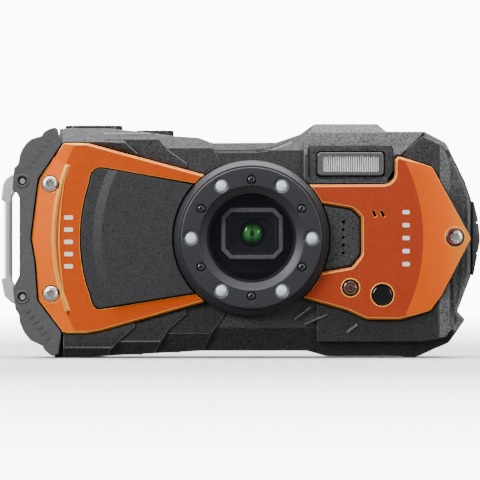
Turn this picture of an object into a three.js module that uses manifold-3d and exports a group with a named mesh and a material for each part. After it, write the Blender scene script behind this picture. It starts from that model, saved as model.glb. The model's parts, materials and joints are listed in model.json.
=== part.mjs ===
// Rugged waterproof compact camera with a folded zoom lens and a six-lamp macro ring.
// Frame: millimetres, +Z up, the lens looks along -Y, origin on the base plane under the
// middle of the body. Outlines are lists of [x, z] seen from the front; a third number on a
// corner is its rounding radius.

import * as THREE from 'three';
import { mergeVertices } from 'three/addons/utils/BufferGeometryUtils.js';
import Module from 'manifold-3d';

const wasm = await Module();
wasm.setup();

// ---------------------------------------------------------------- driving dimensions

const GAP = 0.3;
const SEAM = 0.1;
const LENS = { x: 2.9, z: 31.4 };

// Depths along Y, from the front of the lens ring to the back of the thumb rest.
const RING_FRONT = -14.75;
const GLASS_FRONT = -12.6;
const PLATE_FRONT = -11.0;
const GUARD_FRONT = -11.0;
const SHELL_FRONT = -8.4;
const CAVITY_FRONT = -5.6;
const PARTING_FRONT = 2.9;
const PARTING_REAR = 3.9;
const WALL_REAR = 10.8;
const SHELL_REAR = 12.6;
const THUMB_REAR = 14.75;

// Radii about the lens axis.
const BASE_RING_RADIUS = 20.4;
const COVER_RADIUS = 18.6;
const CONE_RADIUS = 13.5;
const GLASS_RADIUS = 11.5;
const LED_CIRCLE = 15.8;
const SCREW_CIRCLE = 15.2;
const NECK_RADIUS = 16.5;
const BORE_RADIUS = 11.0;
const PLATEAU_RADIUS = 45;
const RIDGE_INNER = 51.2;
const RIDGE_OUTER = 52.3;
const GUARD_INNER = 58.7;

const PLATE_THICKNESS = 2.3;
const PLATE_BEVEL = 0.5;
const PLATE_TILT = Math.tan(THREE.MathUtils.degToRad(8));
const LEFT_BAND_FRONT = -9.6;
const RIGHT_BAND_FRONT = -9.4;
const BAND_REAR = -4;
const TIMER_LAMP = { x: 28.86, z: 18.35, radius: 2.0 };
const REMOTE_WINDOW = { x: 37.2, z: 16.5, radius: 2.65 };
const SOUND_HOLES = { x: 26.95, z: 31.53, pitch: 2.03, radius: 0.43 };
const MIC_SLOTS = { at: [35.06, 37.28], z: 37.73, length: 0.95, width: 0.38, lean: 25 };
const PLATE_SCREWS = [
  { x: -49.9, z: 45.6, head: 2.1, y: -11.3 },
  { x: -49.6, z: 16.8, head: 2.1, y: -11.3 },
  { x: 56.3, z: 31.6, head: 2.25, y: -10.0 },
];
const FLASH_RECESS = { x0: 17.6, x1: 40.2, z0: 46.1, z1: 56.6, floor: -9.2 };
const FLASH_WINDOW = { x0: 20.2, x1: 37.6, z0: 47.8, z1: 53.9, front: -9.7, rear: -8.3 };
const STRAP_PINS = { x: -57.1, at: [46.4, 16.0], radius: 0.8, hole: 1.15, lug: 2.6 };
const MONITOR = { x0: -8, x1: 51, z0: 8.5, z1: 53.5, front: 11.8, rear: 12.8 };
const FOOT = { x0: 43.1, x1: 46.1, top: 1.5 };
const TRIPOD = { x: 12, y: -1.4, bore: 3.175, radius: 3.9, length: 6.4, face: 1.8 };
const PAD = { x: -33, z: 27, radius: 10.2, bore: 4.9 };
const DOOR = { x0: -46, x1: -13, y0: -5.3, y1: 8.5, top: 2.9 };
const DOOR_HINGE = { y: 9.3, z: 1.9, radius: 0.9, pin: 0.4 };
const DOOR_SWING_ROOM = 1.7;
const BATTERY = { x0: -45.7, x1: -13.7, y0: -5.2, y1: 4.7, z0: 4.6, z1: 44.6 };

// ---------------------------------------------------------------- outlines

const SHELL_OUTLINE = [
  [-48.9, 0], [-40.2, 0], [-35.5, 0.5], [-23.3, 1.1], [-10.4, 1.8], [17.5, 1.8],
  [22.7, 0.35], [46.8, 0.35], [50.3, 2.0], [54.7, 3.9], [59.0, 10.0], [57.0, 12.2],
  [58.4, 15.8], [60.6, 21.5], [60.7, 41.4], [59.0, 46.3], [53.9, 56.5], [48.5, 59.4],
  [38.3, 59.4], [36.1, 61.4], [19.35, 61.4], [15.7, 58.7], [9.3, 56.5], [-7.3, 56.4],
  [-11.0, 57.8], [-17.3, 58.2], [-27.7, 59.5], [-34.2, 60.2], [-47.6, 60.2], [-47.6, 58.6],
  [-51.0, 57.6], [-54.5, 55.4], [-56.2, 51.5], [-56.2, 10.5], [-54.6, 6.6], [-51.5, 4.4],
  [-48.9, 2.6],
];

const CAVITY_OUTLINE = [
  [-46.9, 4.2], [-40.0, 3.2], [-10.0, 3.9], [18.0, 3.9], [24.0, 2.6], [48.0, 2.6],
  [53.2, 5.9], [55.8, 10.0], [54.6, 12.3], [58.6, 22.0], [58.6, 41.2], [52.4, 55.1],
  [48.0, 57.3], [37.4, 57.3], [35.2, 59.3], [20.2, 59.3], [16.2, 56.5], [9.6, 54.4],
  [-7.8, 54.4], [-11.4, 55.9], [-30.2, 57.4], [-45.6, 58.0], [-50.0, 55.6], [-53.0, 54.0],
  [-54.2, 51.2], [-54.2, 10.9], [-52.9, 7.7], [-50.4, 6.0],
];

const GUARD_OUTLINE = [
  [-47.96, 60.67], [-50.3, 59.9], [-51.5, 59.2], [-52.0, 58.2], [-54.7, 57.4],
  [-56.0, 56.4], [-57.1, 54.8], [-57.8, 53.1], [-58.2, 50.8], [-59.3, 49.8],
  [-59.5, 47.6], [-59.7, 44.0], [-58.5, 43.1], [-57.9, 41.9], [-57.9, 21.6],
  [-59.6, 18.4], [-59.0, 12.9], [-58.05, 11.3], [-57.8, 9.3], [-56.7, 6.8],
  [-55.0, 4.6], [-51.7, 3.1], [-51.5, 2.3], [-50.35, 1.2], [-49.2, 0.5],
  [-47.6, 1.2], [-46.75, 6.3], [-49.2, 8.05],
  ...arc(LENS, GUARD_INNER, 203.3, 156.5, 14),
  [-47.3, 56.5], [-47.15, 57.7], [-47.9, 60.0],
];

// The plates, grip and speaker panel run on under the lens ring and are trimmed to it.
const LEFT_PLATE_OUTLINE = [
  [-46.3, 56.3, 0.8], [-40.15, 56.3, 1.5], [-5.0, 46.8], [-5.0, 15.9], [-36.4, 7.0, 6],
  [-39.8, 6.4, 3], [-45.3, 6.4, 0.8], [-46.5, 6.8], [-52.9, 15.2, 1], [-53.6, 25.4, 3],
  [-54.7, 31.4, 1], [-53.1, 44.5, 3], [-52.7, 46.9, 1],
];

const GRIP_OUTLINE = [
  [-5.0, 44.5], [-38.9, 50.45, 3],
  ...arc(LENS, PLATEAU_RADIUS, 161.5, 200, 9),
  [-38.3, 12.4, 2], [-5.0, 17.9],
];

const RIGHT_PLATE_OUTLINE = [
  [14.0, 16.4], [27.9, 12.4, 4], [33.2, 10.0, 4], [41.7, 9.9, 4], [49.8, 12.4, 2],
  [52.7, 16.3, 2], [60.5, 31.3, 0.8], [50.3, 50.0, 1.5], [41.4, 52.9, 1], [40.5, 52.0],
  [40.5, 45.5, 3], [14.0, 45.4], [14.0, 41.6], [29.4, 39.1, 2.5], [31.65, 36.8, 0.8],
  [31.7, 26.9, 2.5], [29.15, 23.8, 0.8], [14.0, 21.1],
];

const SPEAKER_OUTLINE = [
  [14.0, 41.3], [29.1, 38.75, 2.3], [31.3, 36.5, 0.8], [31.35, 27.1, 2.3], [29.0, 24.15, 0.8],
  [14.0, 21.45],
];

const LEFT_BAND_OUTLINE = [
  [-56.2, 8], [-44, 8], [-44, 56.2], [-50, 57.4], [-54.5, 54.6], [-56.2, 51],
];

const RIGHT_BAND_OUTLINE = [
  [38, 45.6], [42.2, 53.3], [47.6, 58.2], [53.2, 55.6], [58.2, 46.1], [59.9, 41.2],
  [59.8, 21.7], [57.6, 16.0], [56.4, 12.2], [57.6, 9.9], [54, 5.4], [48, 4.2],
  [20, 4.2], [20, 14], [38, 14],
];

const THUMB_OUTLINE = [[-54.5, 31, 2], [-48, 31, 2], [-46, 40, 6], [-48.4, 50, 2], [-53.6, 50, 2]];

// Armour slabs that overlap like scales on the front shell, highest at the grip end.
// Each has a front depth and a chamfer profile of [y, z] corners along its long edge.
const ARMOUR = [
  { front: -10.2, edge: [[-10.2, 56.5], [-6.2, 60.3]],
    outline: [[-46.7, 61], [-35.0, 61], [-34.2, 60.2], [-26.9, 53.6], [-26.9, 44], [-46.7, 44]] },
  { front: -9.6, edge: [[-9.6, 57.4], [-8.2, 58.9], [-6.2, 60.3]],
    outline: [[-36.0, 61], [-22.5, 61], [-22.5, 58.7], [-18.8, 54.4], [-14.0, 51.0], [-14.0, 44],
      [-36.0, 44]] },
  { front: -9.0, edge: [[-9.0, 55.5], [-7.0, 57.6], [-6.2, 58.6]],
    outline: [[-24.0, 60], [-8.5, 60], [-8.5, 57.2], [-7.3, 55.4], [-4.8, 50.6], [-4.8, 44],
      [-24.0, 44]] },
  { front: -10.0, edge: [[-10.0, 56.8], [-8.0, 59.1], [-7.2, 61.4]],
    outline: [[16.6, 45.6], [16.6, 57.0], [19.5, 61.4], [36.0, 61.4], [38.3, 59.4], [48.5, 59.4],
      [42.2, 53.3], [41.2, 45.6]] },
  { front: -10.2, edge: [[-10.2, 2.7], [-8.6, -0.2]],
    outline: [[-46.4, -1], [-34.3, -1], [-34.3, 1.7], [-31.7, 4.6], [-27.7, 8.0], [-27.7, 15],
      [-46.4, 15]] },
  { front: -9.6, edge: [[-9.6, 4.3], [-7.4, -0.2]],
    outline: [[-36.0, -1], [-22.2, -1], [-22.2, 1.9], [-19.0, 7.2], [-14.2, 11.4], [-14.2, 18],
      [-36.0, 18]] },
  { front: -9.0, edge: [[-9.0, 6.4], [-6.6, -0.2]],
    outline: [[-24.0, -1], [-9.5, -1], [-9.5, 2.5], [-7.6, 6.3], [-4.0, 11.6], [-4.0, 20], [-24.0, 20]] },
];

// ---------------------------------------------------------------- geometry helpers

// Points of an arc about `centre`, angles in degrees from +X towards +Z.
function arc(centre, radius, from, to, steps) {
  const points = [];
  for (let i = 0; i <= steps; i += 1) {
    const angle = THREE.MathUtils.degToRad(from + ((to - from) * i) / steps);
    points.push([centre.x + radius * Math.cos(angle), centre.z + radius * Math.sin(angle)]);
  }
  return points;
}

function direction(from, to) {
  return new THREE.Vector2(to[0] - from[0], to[1] - from[1]).normalize();
}

// Replaces each corner that has a third number by an arc of that radius.
function rounded(corners, steps = 4) {
  const count = corners.length;
  return corners.flatMap((corner, i) => {
    const [x, z, radius] = corner;
    if (!radius) return [[x, z]];
    const toBefore = direction(corner, corners[(i + count - 1) % count]);
    const toAfter = direction(corner, corners[(i + 1) % count]);
    const half = Math.acos(THREE.MathUtils.clamp(toBefore.dot(toAfter), -1, 1)) / 2;
    const middle = toBefore.clone().add(toAfter).normalize().multiplyScalar(radius / Math.sin(half));
    const start = toBefore.clone().multiplyScalar(radius / Math.tan(half)).sub(middle);
    const end = toAfter.clone().multiplyScalar(radius / Math.tan(half)).sub(middle);
    const turn = Math.atan2(start.cross(end), start.dot(end));
    const points = [];
    for (let k = 0; k <= steps; k += 1) {
      const spoke = start.clone().rotateAround(new THREE.Vector2(), (turn * k) / steps);
      points.push([x + middle.x + spoke.x, z + middle.y + spoke.y]);
    }
    return points;
  });
}

function counterClockwise(outline) {
  const points = outline.map(([x, z]) => new THREE.Vector2(x, z));
  return THREE.ShapeUtils.area(points) < 0 ? [...outline].reverse() : outline;
}

// Moves every edge of an outline inwards by `distance` (outwards if negative).
function inset(outline, distance) {
  const loop = counterClockwise(outline);
  const count = loop.length;
  return loop.map((point, i) => {
    const along = direction(loop[(i + count - 1) % count], point);
    const next = direction(point, loop[(i + 1) % count]);
    const scale = distance / (1 + along.dot(next));
    return [point[0] - (along.y + next.y) * scale, point[1] + (along.x + next.x) * scale];
  });
}

// A closed triangle mesh as a solid, with repeated vertices merged and faces pointing out.
function solidOf(geometry) {
  const bare = new THREE.BufferGeometry();
  bare.setAttribute('position', geometry.getAttribute('position'));
  bare.setIndex(geometry.getIndex());
  const merged = mergeVertices(bare, 1e-4);
  const position = merged.getAttribute('position');
  const index = merged.getIndex().array;
  const corner = [new THREE.Vector3(), new THREE.Vector3(), new THREE.Vector3()];
  const triangles = [];
  let volume = 0;
  for (let i = 0; i < index.length; i += 3) {
    const [a, b, c] = [index[i], index[i + 1], index[i + 2]];
    if (a === b || b === c || c === a) continue;
    corner.forEach((point, k) => point.fromBufferAttribute(position, index[i + k]));
    volume += corner[0].dot(corner[1].clone().cross(corner[2]));
    triangles.push([a, b, c]);
  }
  if (volume < 0) triangles.forEach((triangle) => triangle.reverse());
  return new wasm.Manifold(new wasm.Mesh({
    numProp: 3,
    vertProperties: Float32Array.from(position.array),
    triVerts: Uint32Array.from(triangles.flat()),
  }));
}

function shapeOf(outline) {
  return new THREE.Shape(outline.map(([x, z]) => new THREE.Vector2(x, z)));
}

// Extrudes an [x, z] outline along Y.
function slab(outline, yFront, yRear) {
  const options = { depth: yRear - yFront, bevelEnabled: false };
  const geometry = new THREE.ExtrudeGeometry(shapeOf(outline), options);
  geometry.rotateX(Math.PI / 2);
  geometry.translate(0, yRear, 0);
  return solidOf(geometry);
}

// Extrudes a [y, z] profile along X.
function beam(profile, x0, x1) {
  const options = { depth: x1 - x0, bevelEnabled: false };
  const geometry = new THREE.ExtrudeGeometry(shapeOf(profile), options);
  geometry.rotateX(Math.PI / 2);
  geometry.rotateZ(Math.PI / 2);
  geometry.translate(x0, 0, 0);
  return solidOf(geometry);
}

// Extrudes an [x, y] outline up along Z.
function column(outline, z0, z1) {
  const options = { depth: z1 - z0, bevelEnabled: false };
  const geometry = new THREE.ExtrudeGeometry(shapeOf(outline), options);
  geometry.translate(0, 0, z0);
  return solidOf(geometry);
}

function block(x0, x1, y0, y1, z0, z1) {
  const geometry = new THREE.BoxGeometry(x1 - x0, y1 - y0, z1 - z0);
  geometry.translate((x0 + x1) / 2, (y0 + y1) / 2, (z0 + z1) / 2);
  return solidOf(geometry);
}

// Solid through [outline, y] sections with equal point counts.
function loft(sections) {
  const rings = sections.map(([outline, y]) => counterClockwise(outline).map(([x, z]) => [x, y, z]));
  const count = rings[0].length;
  const faces = [];
  for (let r = 0; r + 1 < rings.length; r += 1) {
    for (let i = 0; i < count; i += 1) {
      const a = r * count + i;
      const b = r * count + ((i + 1) % count);
      faces.push(a, a + count, b + count, a, b + count, b);
    }
  }
  const last = (rings.length - 1) * count;
  const capOf = (ring) => {
    const flat = ring.map(([x, , z]) => new THREE.Vector2(x, z));
    return THREE.ShapeUtils.triangulateShape(flat, []);
  };
  capOf(rings[0]).forEach(([a, b, c]) => faces.push(a, b, c));
  capOf(rings[rings.length - 1]).forEach(([a, b, c]) => faces.push(last + c, last + b, last + a));
  const geometry = new THREE.BufferGeometry();
  geometry.setAttribute('position', new THREE.Float32BufferAttribute(rings.flat(2), 3));
  geometry.setIndex(faces);
  return solidOf(geometry);
}

// An outline extruded along Y with its front edge chamfered.
function chamfered(outline, yFront, yRear, chamfer) {
  return loft([[inset(outline, chamfer), yFront], [outline, yFront + chamfer], [outline, yRear]]);
}

// The same with the chamfer on the rear edge.
function chamferedBack(outline, yFront, yRear, chamfer) {
  return loft([[outline, yFront], [outline, yRear - chamfer], [inset(outline, chamfer), yRear]]);
}

// Solid of revolution about the line through (x, z) parallel to Y; profile is [radius, y].
function turned(profile, x, z, segments = 24) {
  const points = profile.map(([radius, y]) => new THREE.Vector2(radius, y));
  const geometry = new THREE.LatheGeometry(points, segments);
  geometry.translate(x, 0, z);
  return solidOf(geometry);
}

function rod(x, z, radius, yFront, yRear, segments = 24) {
  return turned([[0, yFront], [radius, yFront], [radius, yRear], [0, yRear]], x, z, segments);
}

// Closed ring profile turned about a Y-parallel line.
function collar(profile, x, z, segments = 24) {
  return turned([...profile, profile[0]], x, z, segments);
}

// Everything behind a dished surface about the lens axis: flat out to `radius`, then
// falling back by `tilt` millimetres per millimetre.
function behind(yFlat, radius, tilt) {
  const far = 70;
  const yFar = yFlat + (far - radius) * tilt;
  return turned([[0, yFlat], [radius, yFlat], [far, yFar], [far, 20], [0, 20]], LENS.x, LENS.z, 96);
}

function stadium(cx, cy, halfLength, halfWidth, steps = 6) {
  const reach = halfLength - halfWidth;
  return [
    ...arc({ x: cx + reach, z: cy }, halfWidth, -90, 90, steps),
    ...arc({ x: cx - reach, z: cy }, halfWidth, 90, 270, steps),
  ];
}

function rectangle(x0, x1, z0, z1, radius, steps = 4) {
  return rounded([[x0, z0, radius], [x1, z0, radius], [x1, z1, radius], [x0, z1, radius]], steps);
}

function cut(solid, ...tools) {
  return tools.reduce((left, tool) => left.subtract(tool), solid);
}

function join(solid, ...others) {
  return others.reduce((whole, other) => whole.add(other), solid);
}

// Places on a circle about the lens axis.
function around(radius, degrees) {
  return arc(LENS, radius, degrees, degrees, 1)[0];
}

// ---------------------------------------------------------------- materials and assembly

function finish(color, roughness, metalness = 0) {
  return new THREE.MeshStandardMaterial({ color, roughness, metalness });
}

const FINISH = {
  shell: finish(0x33363a, 0.62),
  innerPlastic: finish(0x17181a, 0.6),
  orange: finish(0xd9651a, 0.34, 0.75),
  grip: finish(0x2f3236, 0.7),
  rubber: finish(0x56585a, 0.85),
  seal: finish(0x0e0e10, 0.8),
  ring: finish(0x38393d, 0.45, 0.3),
  glass: finish(0x0a0c10, 0.05),
  coated: finish(0x2f7a3a, 0.06),
  led: finish(0xeaf0f8, 0.2),
  steel: finish(0xb9bcc0, 0.28, 1),
  reflector: finish(0xdfe3e6, 0.12, 1),
  lamp: finish(0x6a2210, 0.15),
  window: finish(0x0c0c0e, 0.08),
  screen: finish(0x050608, 0.1),
  brass: finish(0xb08d3e, 0.35, 1),
  board: finish(0x1f5a34, 0.5),
  battery: finish(0x24272c, 0.5),
  card: finish(0x1a2c60, 0.4),
  button: finish(0x24262a, 0.5),
};

const camera = new THREE.Group();

function add(name, solid, material) {
  const { vertProperties, triVerts } = solid.getMesh();
  const geometry = new THREE.BufferGeometry();
  geometry.setAttribute('position', new THREE.BufferAttribute(vertProperties, 3));
  geometry.setIndex(new THREE.BufferAttribute(triVerts, 1));
  geometry.computeVertexNormals();
  const mesh = new THREE.Mesh(geometry, material);
  mesh.name = name;
  camera.add(mesh);
}

// ---------------------------------------------------------------- buttons

// Top buttons press down (-Z): a cap through the roof on a wider retaining flange.
const TOP_BUTTONS = [
  { name: 'shutter_button', x: -38.6, y: -1.1, length: 7.6, width: 3.5, top: 61.05, roof: 57.4 },
  { name: 'power_button', x: -22.5, y: -1.1, length: 5.0, width: 2.8, top: 59.75, roof: 56.3 },
];

// Rear buttons press forward (-Y).
const REAR_BUTTONS = [
  { name: 'playback_button', x: -18.5, z: 42.5, radius: 2.9 },
  { name: 'movie_button', x: -18.5, z: 51.0, radius: 2.9 },
  { name: 'menu_button', x: -19.5, z: 10.5, radius: 2.9 },
  { name: 'function_button', x: -46.0, z: 10.5, radius: 2.9 },
];
const ROCKER = { x: -38.5, z: 49.5, length: 10.5, width: 3.2 };
const BUTTON_REAR = 13.5;
const FLANGE_STEP = 0.7;

function topButtonHoles() {
  return TOP_BUTTONS.map(({ x, y, length, width }) =>
    column(stadium(x, y, length + GAP, width + GAP), 54, 63));
}

function addTopButtons() {
  for (const { name, x, y, length, width, top, roof } of TOP_BUTTONS) {
    const flangeTop = roof - GAP;
    const flangeBase = flangeTop - 0.8;
    const wider = stadium(x, y, length + FLANGE_STEP, width + FLANGE_STEP);
    const cap = column(stadium(x, y, length, width), flangeBase, top);
    const flange = column(wider, flangeBase, flangeTop);
    add(name, join(cap, flange), name === 'shutter_button' ? FINISH.steel : FINISH.button);
  }
}

function rearButtonHoles() {
  const holes = REAR_BUTTONS.map(({ x, z, radius }) => rod(x, z, radius + GAP, 8, 16, 18));
  holes.push(slab(stadium(ROCKER.x, ROCKER.z, ROCKER.length + 0.4, ROCKER.width + 0.4), 8, 16));
  holes.push(rod(PAD.x, PAD.z, PAD.radius + 0.55, 8, 16, 36));
  return holes;
}

function addRearButtons() {
  const flangeRear = WALL_REAR - GAP;
  for (const { name, x, z, radius } of REAR_BUTTONS) {
    const wide = radius + FLANGE_STEP;
    const profile = [
      [0, flangeRear - 0.7], [wide, flangeRear - 0.7], [wide, flangeRear], [radius, flangeRear],
      [radius, BUTTON_REAR - 0.4], [radius - 0.4, BUTTON_REAR], [0, BUTTON_REAR],
    ];
    add(name, turned(profile, x, z, 18), FINISH.button);
  }
  const { x, z, length, width } = ROCKER;
  const capRear = BUTTON_REAR + 0.3;
  const wider = stadium(x, z, length + FLANGE_STEP, width + FLANGE_STEP);
  const dip = [[x - 3.2, capRear + 1], [x, capRear - 0.6], [x + 3.2, capRear + 1]];
  const cap = slab(stadium(x, z, length, width), flangeRear - 0.6, capRear);
  const valley = column(dip, z - 9, z + 9);
  const flange = slab(wider, flangeRear - 0.6, flangeRear);
  add('zoom_rocker', cut(join(cap, flange), valley), FINISH.button);
}

// The four-way pad tilts about X and Z. A gimbal ring carries one axis, the pad the other.
function addFourWayPad() {
  const { x, z, radius, bore } = PAD;
  const profile = [
    [bore, 10.0], [radius + 0.3, 10.0], [radius, 10.6], [radius, 13.2], [radius - 0.7, 13.6],
    [bore + 0.9, 13.0], [bore, 12.8],
  ];
  add('four_way_pad', collar(profile, x, z, 36), FINISH.button);
  add('pad_gimbal', collar([[6, 8.8], [8.6, 8.8], [8.6, 9.4], [6, 9.4]], x, z, 24), FINISH.steel);
  const button = [[0, 8.9], [4.0, 8.9], [4.0, 9.4], [4.3, 9.9], [4.3, 13.0], [3.9, 13.4], [0, 13.4]];
  add('ok_button', turned(button, x, z, 20), FINISH.button);
}

// ---------------------------------------------------------------- shells, gasket and guard

function doorOpening() {
  const { x0, x1, y0, y1 } = DOOR;
  return [
    block(x0 - GAP, x1 + GAP, y0 - GAP, y1 + 0.5, -1, DOOR.top + GAP),
    block(x0 - GAP, x1 + GAP, y1, DOOR_HINGE.y + DOOR_SWING_ROOM, -1, DOOR_HINGE.z + 1.3),
  ];
}

function armour() {
  return ARMOUR.map(({ front, edge, outline }) => {
    const isTop = edge[0][1] > LENS.z;
    const inner = isTop ? 30 : 33;
    const far = edge[edge.length - 1];
    const profile = [[front, inner], ...edge, [-4, far[1]], [-4, inner]];
    return slab(outline, front, -4).intersect(beam(profile, -62, 62));
  });
}

// Cuts the face plates' pockets out of a shell, down to a floor behind the plates.
function platePockets() {
  const floor = PLATE_FRONT + PLATE_THICKNESS + GAP;
  const left = slab(inset(rounded(LEFT_PLATE_OUTLINE), -GAP), -12, 0);
  const right = slab(inset(rounded(RIGHT_PLATE_OUTLINE), -GAP), -12, 0);
  const notch = slab(inset(rounded(SPEAKER_OUTLINE), -GAP), -12, 0);
  return [
    cut(left, behind(floor, RIDGE_OUTER, PLATE_TILT)),
    cut(right, behind(floor, PLATEAU_RADIUS, PLATE_TILT)),
    cut(notch, behind(floor, PLATEAU_RADIUS, PLATE_TILT)),
  ];
}

function ringRoom() {
  return rod(LENS.x, LENS.z, BASE_RING_RADIUS + GAP, -14, 0, 60);
}

function strapLugs() {
  return STRAP_PINS.at.map((z) => rod(STRAP_PINS.x, z, STRAP_PINS.lug, -2.7, 2.7, 20));
}

// Holes that pass through both shells and the gasket.
function sharedOpenings() {
  const cavity = slab(CAVITY_OUTLINE, CAVITY_FRONT, WALL_REAR);
  return [cavity, ...doorOpening(), ...topButtonHoles(), ...strapLugs()];
}

function addFrontShell() {
  const body = slab(SHELL_OUTLINE, SHELL_FRONT, PARTING_FRONT);
  const [leftBand, rightBand] = [
    slab(LEFT_BAND_OUTLINE, LEFT_BAND_FRONT, BAND_REAR),
    slab(RIGHT_BAND_OUTLINE, RIGHT_BAND_FRONT, BAND_REAR),
  ];
  const chamfer = beam([
    [SHELL_FRONT, 8.0], [-5.6, -0.5], [4, -0.5], [4, 62], [-2.5, 62], [SHELL_FRONT, 54.4],
  ], -62, 62);
  const sides = column([
    [-57, -14], [51.5, -14], [51.5, -9.6], [62, -6.0], [62, 6], [-57, 6],
  ], -2, 64);
  const front = join(body.intersect(chamfer), leftBand, rightBand, ...armour());
  const within = slab(SHELL_OUTLINE, -12, 20);
  const foot = block(FOOT.x0, FOOT.x1, -5.5, PARTING_FRONT, 0, FOOT.top);
  const { x0, x1, z0, z1, floor } = FLASH_RECESS;
  const glass = FLASH_WINDOW;
  add('front_shell', cut(
    join(front.intersect(within).intersect(sides), foot),
    ...sharedOpenings(),
    ...platePockets(),
    rod(LENS.x, LENS.z, NECK_RADIUS + GAP, -14, -4, 48),
    rod(LENS.x, LENS.z, BASE_RING_RADIUS + GAP, -14, SHELL_FRONT - 0.1, 60),
    ...PLATE_SCREWS.map(({ x, z }) => rod(x, z, 1.3, -14, -4.2, 10)),
    slab(rectangle(x0, x1, z0, z1, 2.5), -12, floor),
    slab(rectangle(glass.x0 - GAP, glass.x1 + GAP, glass.z0 - GAP, glass.z1 + GAP, 0.8), -12, -4),
    slab(rectangle(26.2, 27.7, 26.6, 36.4, 0.7), -12, -4),
    block(59.6, 62, -2.2, 2.4, 25, 38),
    tripodHole(),
  ), FINISH.shell);
}

function addRearShell() {
  const walls = loft([
    [SHELL_OUTLINE, PARTING_REAR],
    [SHELL_OUTLINE, 9.6],
    [inset(SHELL_OUTLINE, 0.14), SHELL_REAR],
  ]);
  const profile = beam([
    [2, -0.5], [9.8, -0.5], [SHELL_REAR, 2.6], [SHELL_REAR, 57.0], [9.6, 62], [2, 62],
  ], -62, 62);
  const sides = column([
    [-62, 2], [62, 2], [62, 9.4], [58.4, SHELL_REAR], [-53.6, SHELL_REAR], [-57, 9.4], [-62, 9],
  ], -2, 64);
  const foot = block(FOOT.x0, FOOT.x1, PARTING_REAR, 11.5, 0, FOOT.top);
  const thumbRest = chamferedBack(rounded(THUMB_OUTLINE), SHELL_REAR - 0.6, THUMB_REAR, 0.9);
  const { x0, x1, z0, z1, front } = MONITOR;
  add('rear_shell', cut(
    join(walls.intersect(profile).intersect(sides), foot, thumbRest),
    ...sharedOpenings(),
    ...rearButtonHoles(),
    slab(rectangle(x0 - GAP, x1 + GAP, z0 - GAP, z1 + GAP, 2.5), front - SEAM, 20),
    slab(rectangle(x0 + 2, x1 - 2, z0 + 2.5, z1 - 2.5, 1), 8, 20),
  ), FINISH.shell);
}

function addGasket() {
  const seal = slab(inset(SHELL_OUTLINE, 0.5), PARTING_FRONT + SEAM, PARTING_REAR - SEAM);
  add('body_gasket', cut(seal, ...sharedOpenings()), FINISH.seal);
}

function addSideGuard() {
  const lip = slab(GUARD_OUTLINE, GUARD_FRONT, -9.9);
  const wallOutline = [...GUARD_OUTLINE.slice(0, 26), [-47.6, 4], [-47.6, 58]];
  const wall = cut(slab(wallOutline, -10.4, 8.8), slab(inset(SHELL_OUTLINE, -GAP), -10.5, 20));
  const { x, at, hole } = STRAP_PINS;
  const pinHoles = at.map((z) => rod(x, z, hole, -12, 3.6, 16));
  const slots = at.map((z) => block(-62, x, -2.7, 2.7, z - 3.0, z + 3.0));
  const plateRoom = slab(inset(rounded(LEFT_PLATE_OUTLINE), -GAP), -12, -6);
  add('side_guard', cut(join(lip, wall), ...strapLugs(), ...pinHoles, ...slots, plateRoom),
    FINISH.rubber);
}

function addStrapBar() {
  const outline = [
    [-57.1, 48.5], [-60.2, 48.2], [-62.15, 46.8], [-62.6, 45.6], [-63.1, 41.4], [-62.0, 41.0],
    [-62.0, 21.2], [-63.1, 20.8], [-62.2, 16.1], [-60.2, 14.2], [-57.1, 13.9], [-55.3, 15.0],
    [-55.3, 17.0], [-57.1, 18.1], [-59.0, 18.2], [-60.2, 20.0], [-60.2, 42.2],
    [-59.0, 44.2], [-57.1, 44.3], [-55.3, 45.4], [-55.3, 47.4],
  ];
  const { x, at, radius } = STRAP_PINS;
  const eyes = at.map((z) => rod(x, z, radius + GAP, -4, 4, 16));
  add('strap_bar', cut(slab(outline, -2.2, 2.2), ...eyes), FINISH.steel);
  at.forEach((z, i) => {
    add(`strap_pin_${i + 1}`, rod(x, z, radius, -10.4, 3.2, 16), FINISH.steel);
  });
}

// ---------------------------------------------------------------- face plates and grip

// A sheet of the plates' thickness that is flat out to `flat` millimetres from the lens
// axis and falls back beyond it.
function plateSheet(outline, flat) {
  const blank = chamfered(rounded(outline), PLATE_FRONT, 0, PLATE_BEVEL);
  return cut(
    blank.intersect(behind(PLATE_FRONT, flat, PLATE_TILT)),
    behind(PLATE_FRONT + PLATE_THICKNESS, flat, PLATE_TILT),
  );
}

function plateScrewHoles() {
  const shanks = PLATE_SCREWS.map(({ x, z }) => rod(x, z, 1.3, -14, -4, 10));
  const seats = PLATE_SCREWS.map(({ x, z, head, y }) => rod(x, z, head + GAP, -14, y + 1.5, 16));
  return [...shanks, ...seats];
}

function addLeftPlate() {
  const bead = collar([
    [RIDGE_INNER, PLATE_FRONT + 1], [RIDGE_INNER, PLATE_FRONT], [RIDGE_INNER + 0.35, PLATE_FRONT - 0.4],
    [RIDGE_OUTER - 0.35, PLATE_FRONT - 0.4], [RIDGE_OUTER, PLATE_FRONT], [RIDGE_OUTER, PLATE_FRONT + 1],
  ], LENS.x, LENS.z, 120);
  const beadReach = slab([[LENS.x, LENS.z], [-56, 54.8], [-56, 8.0]], -13, 0);
  const plate = join(plateSheet(LEFT_PLATE_OUTLINE, RIDGE_OUTER), bead.intersect(beadReach));
  const gripRoom = slab(rounded(GRIP_OUTLINE), -13, 0);
  add('left_face_plate', cut(plate, gripRoom, ringRoom(), ...plateScrewHoles()), FINISH.orange);
}

function micSlots() {
  const lean = THREE.MathUtils.degToRad(MIC_SLOTS.lean);
  return MIC_SLOTS.at.map((x) => {
    const slot = stadium(0, 0, MIC_SLOTS.length, MIC_SLOTS.width, 4).map(([u, v]) => [
      x - u * Math.sin(lean) + v * Math.cos(lean),
      MIC_SLOTS.z + u * Math.cos(lean) + v * Math.sin(lean),
    ]);
    return slab(slot, -14, 0);
  });
}

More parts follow.
